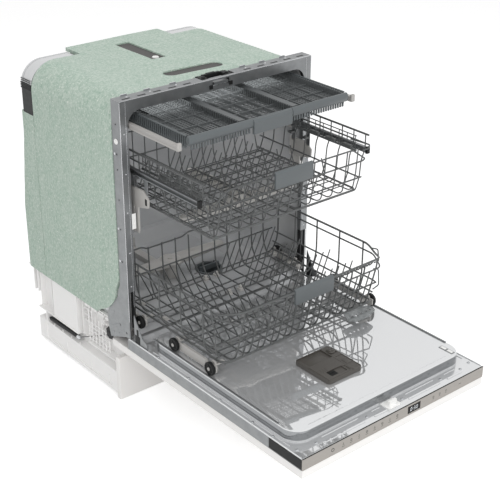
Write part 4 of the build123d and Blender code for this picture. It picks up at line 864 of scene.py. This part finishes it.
# ---- Wheels of the lower rack: dark acetal tyres on light hubs ----
# A grooved tread, a dished face and a cross-shaped snap in the hub.
axle, wheel_places = 253.3, ((-287, -145), (-3, 86))
tread = [(4.3, -4.5), (13, -4.5), (16, -4.2), (17, -3), (17, -0.6), (16.2, 0), (17, 0.6), (17, 3), (16, 4.4),
         (13.6, 4.5), (12.8, 3), (8.4, 3), (7.6, 4.6), (5, 4.8), (4.3, 4.2), (4.3, -4.5)]
for number, y in enumerate(wheel_places[0] + wheel_places[1], 1):
    wheels = studs([(267, y, axle)], tread, 32)
    for turn in [2 * math.pi * k / 5 for k in range(5)]:
        ay, az = math.cos(turn), math.sin(turn)
        spoke = [(y + ay * r - az * w, axle + az * r + ay * w) for r, w in ((8, -1), (13, -0.8), (13, 0.8), (8, 1))]
        wheels += [plate(0, s * 269.6, spoke, s * 1.4) for s in sides]
    dress(join("wheels_%d_mould" % number, wheels), dark_moulding, "wheels_%d" % number,
          ["wheel_pair_%d" % number])
carriers = []
for first, last in wheel_places:
    outline = [(first - 16, 246), (first - 6, 240), (last + 6, 240), (last + 16, 246), (last + 16, 262),
               (first - 16, 262)]
    carriers += [ease(plate(0, s * 256.8, outline, s * 4.4), 1.2) for s in sides]
    carriers += blocks(sides, (254, first + 24, 244, 262.4, last - 24, 264, 2, 3))
    for y in (first, last):
        carriers += blocks(sides, (228, y - 8, 259, 258, y + 3, 263.7), (252, y - 7, 262, 258, y + 7, 270, 1.6, 3))
        carriers += studs([(261, y, axle)],
                          [(0, 12.4), (2, 12.4), (4.2, 11.6), (4.4, 10.8), (4, 10.4), (4, 0), (0, 0)], 20)
dress(join("wheel_carrier_mouldings", carriers), light_moulding, "lower_rack", ["wheel_carriers"])

# ---- Middle rack: welded wire like the lower one, with sides that step inwards ----
# The step lets the runners and rollers pass beside the basket.
thick = mirrored(
    [(255, 130, 706), (255, -262, 706)],
    [(228, 124, 566), (228, -246, 566), (214, -252, 566), (0, -252, 566)],
)
medium = mirrored(
    [(253, 130, 683), (253, -262, 683)],
    [(235, 128, 598), (234, -256, 598)],
    [(0, -267, 682), (196, -267, 682), (240, -267, 650), (232, -267, 646), (0, -267, 646)],
    [(240, -257, 598), (0, -257, 598)],
    [(255, 130, 706), (0, 130, 706)],
    [(246, 129, 640), (0, 129, 640)],
    [(250, -205, 681), (254, -268, 683), (250, -268, 674), (236, -262, 671)],
)
thin = [hoop([(254, 706), (254, 668), (242, 640), (238, 596), (226, 564)], -252 + 41 * n) for n in range(10)]
for n in range(13):
    x = -216 + 36 * n
    thin.append([(x, 129, 706), (x, 127, 600), (x, 116, 563), (x, -238, 563), (x, -252, 572), (x, -260, 610),
                 (x, -266, 682 if abs(x) > 64 else 650)])
for y in (-160, -40):
    medium.append([(-222, y, 569), (222, y, 569)])
    thin += [[(x, y, 568), (x, y - 2, 576), (x, y + 14, 622)] for x in range(-207, 208, 46)]
medium += [[(-222, y, 567), (222, y, 567)] for y in (20, 70, 100)]
for x in (-176, -92, -8, 96):
    medium.append([(x, -240, 570), (x, 118, 570)])
    thin += [[(x, y, 569), (x + 4, y + 1, 578), (x + 34, y + 8, 628)] for y in range(-228, 109, 21)]
basket = wires("middle_basket_wires", (5, 10, thick), (4, 9, medium), (3.2, 7, thin))
strap_places = (-46, 10)
hangers = blocks(sides, *[(243, y, 634, 256, y + 14, 640, 1.2, 2) for y in strap_places])
dress(join("middle_basket_wires", [basket] + hangers), coated_wire, "middle_rack", ["middle_basket"])

# ---- Cup shelves: dark ribbed plastic combs folded up along both sides ----
# Each turns on a bar beside the basket; they share the wires' grey coat.
shelf_bar = [(0, 0), (2.6, 0), (3, 0.6), (3, 239.4), (2.6, 240), (0, 240)]
for s, side in zip(sides, ("left", "right")):
    shelf = blocks((s,), (237.4, -236, 699, 240.4, 4, 701.2, 0.8), (238.2, -234, 680, 239.6, 2, 682, 0.5),
                   *[(238, y - 1, 662, 239.8, y + 1, 700, 0.5) for y in range(-232, 1, 29)],
                   *[(234, y - 17, 660, 243.5, y + 17, 671, 2.5, 3) for y in (-205, -145, -85)])
    shelf.append(turned((s * 238.8, 4, 662), (0, -1, 0), shelf_bar, 16))
    dress(join("cup_comb_" + side, shelf), coated_wire, "cup_shelf_" + side, ["cup_shelf_" + side])

# ---- Runners of the middle rack: folded steel rails round the rollers ----
# Grey zinc with dark end stops; pale height adjusters hang from them on two straps, each with a thin dark plate as
# painted shade in its slot.
profile = [(258.5, 655), (267.5, 655), (267.5, 657), (260, 657), (260, 667), (267.5, 667), (267.5, 669), (258.5, 669)]
rails = [plate(1, -252, [(s * x, z) for x, z in profile], 391) for s in sides]
rails += blocks(sides, *[(258, y, 612, 259.4, y + 14, 668, 0.4) for y in strap_places])
cheek = [(33, 566), (-20, 573), (-50, 581), (-52, 603), (-30, 621), (33, 618)]
adjusters = [ease(plate(0, s * 258, cheek, s * 5), 1.4, 3) for s in sides]
adjusters += blocks(sides, (258.2, 10, 500, 262, 22, 570, 1.2, 3), (258.2, -8, 506, 262, 2, 574, 1.2, 3),
                    (258.6, -6, 500, 260.2, 20, 568, 0.6))
# The first thin dark plate on each adjuster is painted shade for its slot.
stops_and_slot_shade = blocks(sides, (262.4, -46, 586, 263.4, -38, 603, 0.4), (257.6, -256, 653, 268.4, -249, 671, 1.4, 3),
               (257.8, 137.2, 653, 268.4, 140.8, 671, 1.2, 3))
dress(join("runner_end_stops_and_slot_shade", stops_and_slot_shade), dark_moulding, "middle_carriage")
dress(join("runner_rails", rails), galvanised, "middle_carriage", ["middle_runners"])
dress(smooth(join("height_adjusters", adjusters), 35), light_moulding, "middle_carriage")


# ---- Cutlery tray: three moulded lattices in a frame with a round front rail ----
# Fine square openings, thin upright ribs along every edge, and a flat grip in the middle.
def comb(low, high, step, count):
    """A row of thin ribs: one rib between two corners, repeated count times by step mm."""
    return apply_modifier(board(low, high, 0), "ARRAY", count=count, use_relative_offset=False,
                          use_constant_offset=True, constant_offset_displace=[c / 1000 for c in step])


along_tray, rib_count = (0, 8, 0), 48
angles = [math.radians(a) for a in range(0, 360, 24)]
outline = [(-188 + 7.4 * math.cos(a), 788 + 11.5 * math.sin(a)) for a in angles]
tray = [smooth(ease(plate(0, x0, outline, x1 - x0), 1.5, 2, 50), 50) for x0, x1 in ((-245, 62.4), (63.2, 245))]
grip = [(-190, 762), (-197, 762), (-198, 764), (-198, 792), (-194, 798), (-190, 798)]
tray.append(ease(plate(0, -59, grip, 118), 1))
tray += blocks(once, (-245, 206, 775, 245, 212, 800, 1.6, 3))
tray += blocks(sides, (241, -181, 797, 245.5, 206, 800.4, 1, 2), (240, -181, 768.7, 245, 206, 773.5, 0.8, 2))
for s in sides:
    tray.append(comb((s * 241, -178, 773), (s * 244, -174.4, 798), along_tray, rib_count))
    tray.append(comb((s * 64, -189, 765), (s * 67.6, -185.6, 779), (s * 8, 0, 0), 22))
dress(join("tray_frame_moulding", tray), grey_moulding, "cutlery_tray", ["tray_frame"])

dark_grey_moulding, *skin = new_material("grey_polypropylene", "585B5C", 0.42)
mottle(*skin, 700, 3, relief=(0.1, 0.0003))
lattices = []
lattice_length = 386
for x0, x1, pitch, floor in ((-239.7, -83, 9.2, 782), (-81, 81, 13, 780), (83, 239.7, 9.2, 782)):
    lattice = grid(round((x1 - x0) / pitch), round(lattice_length / pitch),
                   lambda u, w: at(x0 + u * (x1 - x0), 12.5 + (w - 0.5) * lattice_length, floor))
    only(lattice)
    bpy.ops.object.mode_set(mode="EDIT")
    bpy.ops.mesh.select_mode(type="FACE")
    bpy.ops.mesh.select_all(action="SELECT")
    bpy.ops.mesh.inset(thickness=0.0013, use_individual=True)
    bpy.ops.mesh.delete(type="FACE")
    bpy.ops.object.mode_set(mode="OBJECT")
    lattices.append(apply_modifier(edit(lattice), "SOLIDIFY", thickness=0.003, offset=0))
    for x in (x0, x1 - 2.5):
        lattices += blocks(once, (x, -180.5, 775, x + 2.5, 205.5, 797, 0.5, 1))
        lattices.append(comb((x - 1.1, -178, 776), (x + 3.6, -175, 794), along_tray, rib_count))
    lattices += blocks(once, *[(x0 + 3, y, 780, x1 - 3, y + 2.4, 788, 0.4, 1) for y in range(-116, 141, 64)])
    quarters = [x0 + (x1 - x0) * n / 4 for n in (1, 2, 3)]
    lattices += blocks(once, *[(x - 1.2, -180, 780, x + 1.2, 205, 787, 0.4, 1) for x in quarters])
lattices += blocks(sides, (91, -180, 795.4, 73, 205, 798.6, 0.9, 2))
lattices += [comb((s * x - 1.2, -178, 780), (s * x + 1.2, -174.6, 797.6), along_tray, rib_count)
             for s in sides for x in (92.5, 71.5)]
dress(join("tray_lattices", lattices), dark_grey_moulding, "cutlery_tray", ["tray_inserts"])

# ---- Runners of the cutlery tray: pale acetal bars beside it ----
# A groove along the outer face, and a taller stop at the front end.
profile = [(262.4, 770), (273, 770), (273, 774.4), (271.6, 775.4), (271.6, 778), (273, 779), (273, 783), (262.4, 783)]
bars = [plate(1, -184, [(s * x, z) for x, z in profile], 390) for s in sides]
bars += blocks(sides, (262.2, -190, 769.9, 273.4, -182, 788.4, 1.6, 3))
dress(join("tray_runner_bars", bars), light_moulding, "cutlery_tray", ["tray_runners"])

# ---- Hinge side details: black sleeves, rivets and a pressed rib ----
# The sleeves hold the hinge arms; rivets and ribs stand on the plates' outer faces.
sleeves = blocks(sides, (289.5, -36, 209, 294, -14, 232, 2, 3), (288.5, -30, 226, 294.2, -22, 250, 2, 3))
dress(join("hinge_sleeves", sleeves), dark_moulding, "machine")
plate_face = 296.4
bosses = studs([(plate_face, y, z) for y, z in ((30, 222), (52, 208), (78, 200), (22, 344), (72, 262))],
               [(0, 1.2), (2.4, 1), (3.4, 0), (3.4, -1), (0, -1)], 14)
rib = ((44, 232), (84, 210), (88, 216), (48, 238))
bosses += [ease(plate(0, s * plate_face, rib, s * 1.2), 0.6) for s in sides]
dress(join("hinge_plate_rivets", bosses), galvanised, "machine")

# ---- Spray arms: blow-moulded blades in light grey, round at both ends ----
# A raised spine over each half and oval nozzles along it.
half = [(0, 27), (60, 23), (130, 17), (170, 14.5), (181, 11), (187, 5), (188, 0)]
half += [(x, -w) for x, w in half[-2::-1]]
blade_outline = half + [(-x, w) for x, w in half[-2:0:-1]]
hub = [(8.2, 0), (20, 0), (32, 3), (34, 6), (34, 12), (30, 16), (18, 18), (8.2, 18), (8.2, 0)]
nozzle = [(1.4, 0), (1.4, 1.8), (3.6, 1.6), (4.4, 0), (4.4, -1), (1.4, -1)]
for level, y, z in (("lower", 235, 240), ("middle", -70, 529)):
    blade = ease(plate(2, z + 2, [(x, y + w) for x, w in blade_outline], 13.5), 4.5, 3, 50)
    parts = [blade, turned((0, y, z), (0, 0, 1), hub, 36)]
    parts += [turned((x, y + x * 0.03, z + 15), (0, 0, 1), nozzle, 14) for x in (-150, -115, -80, 80, 115, 150)]
    dress(smooth(join(level + "_arm_blade", parts), 40), light_moulding, level + "_arm",
          [level + "_spray_arm"])
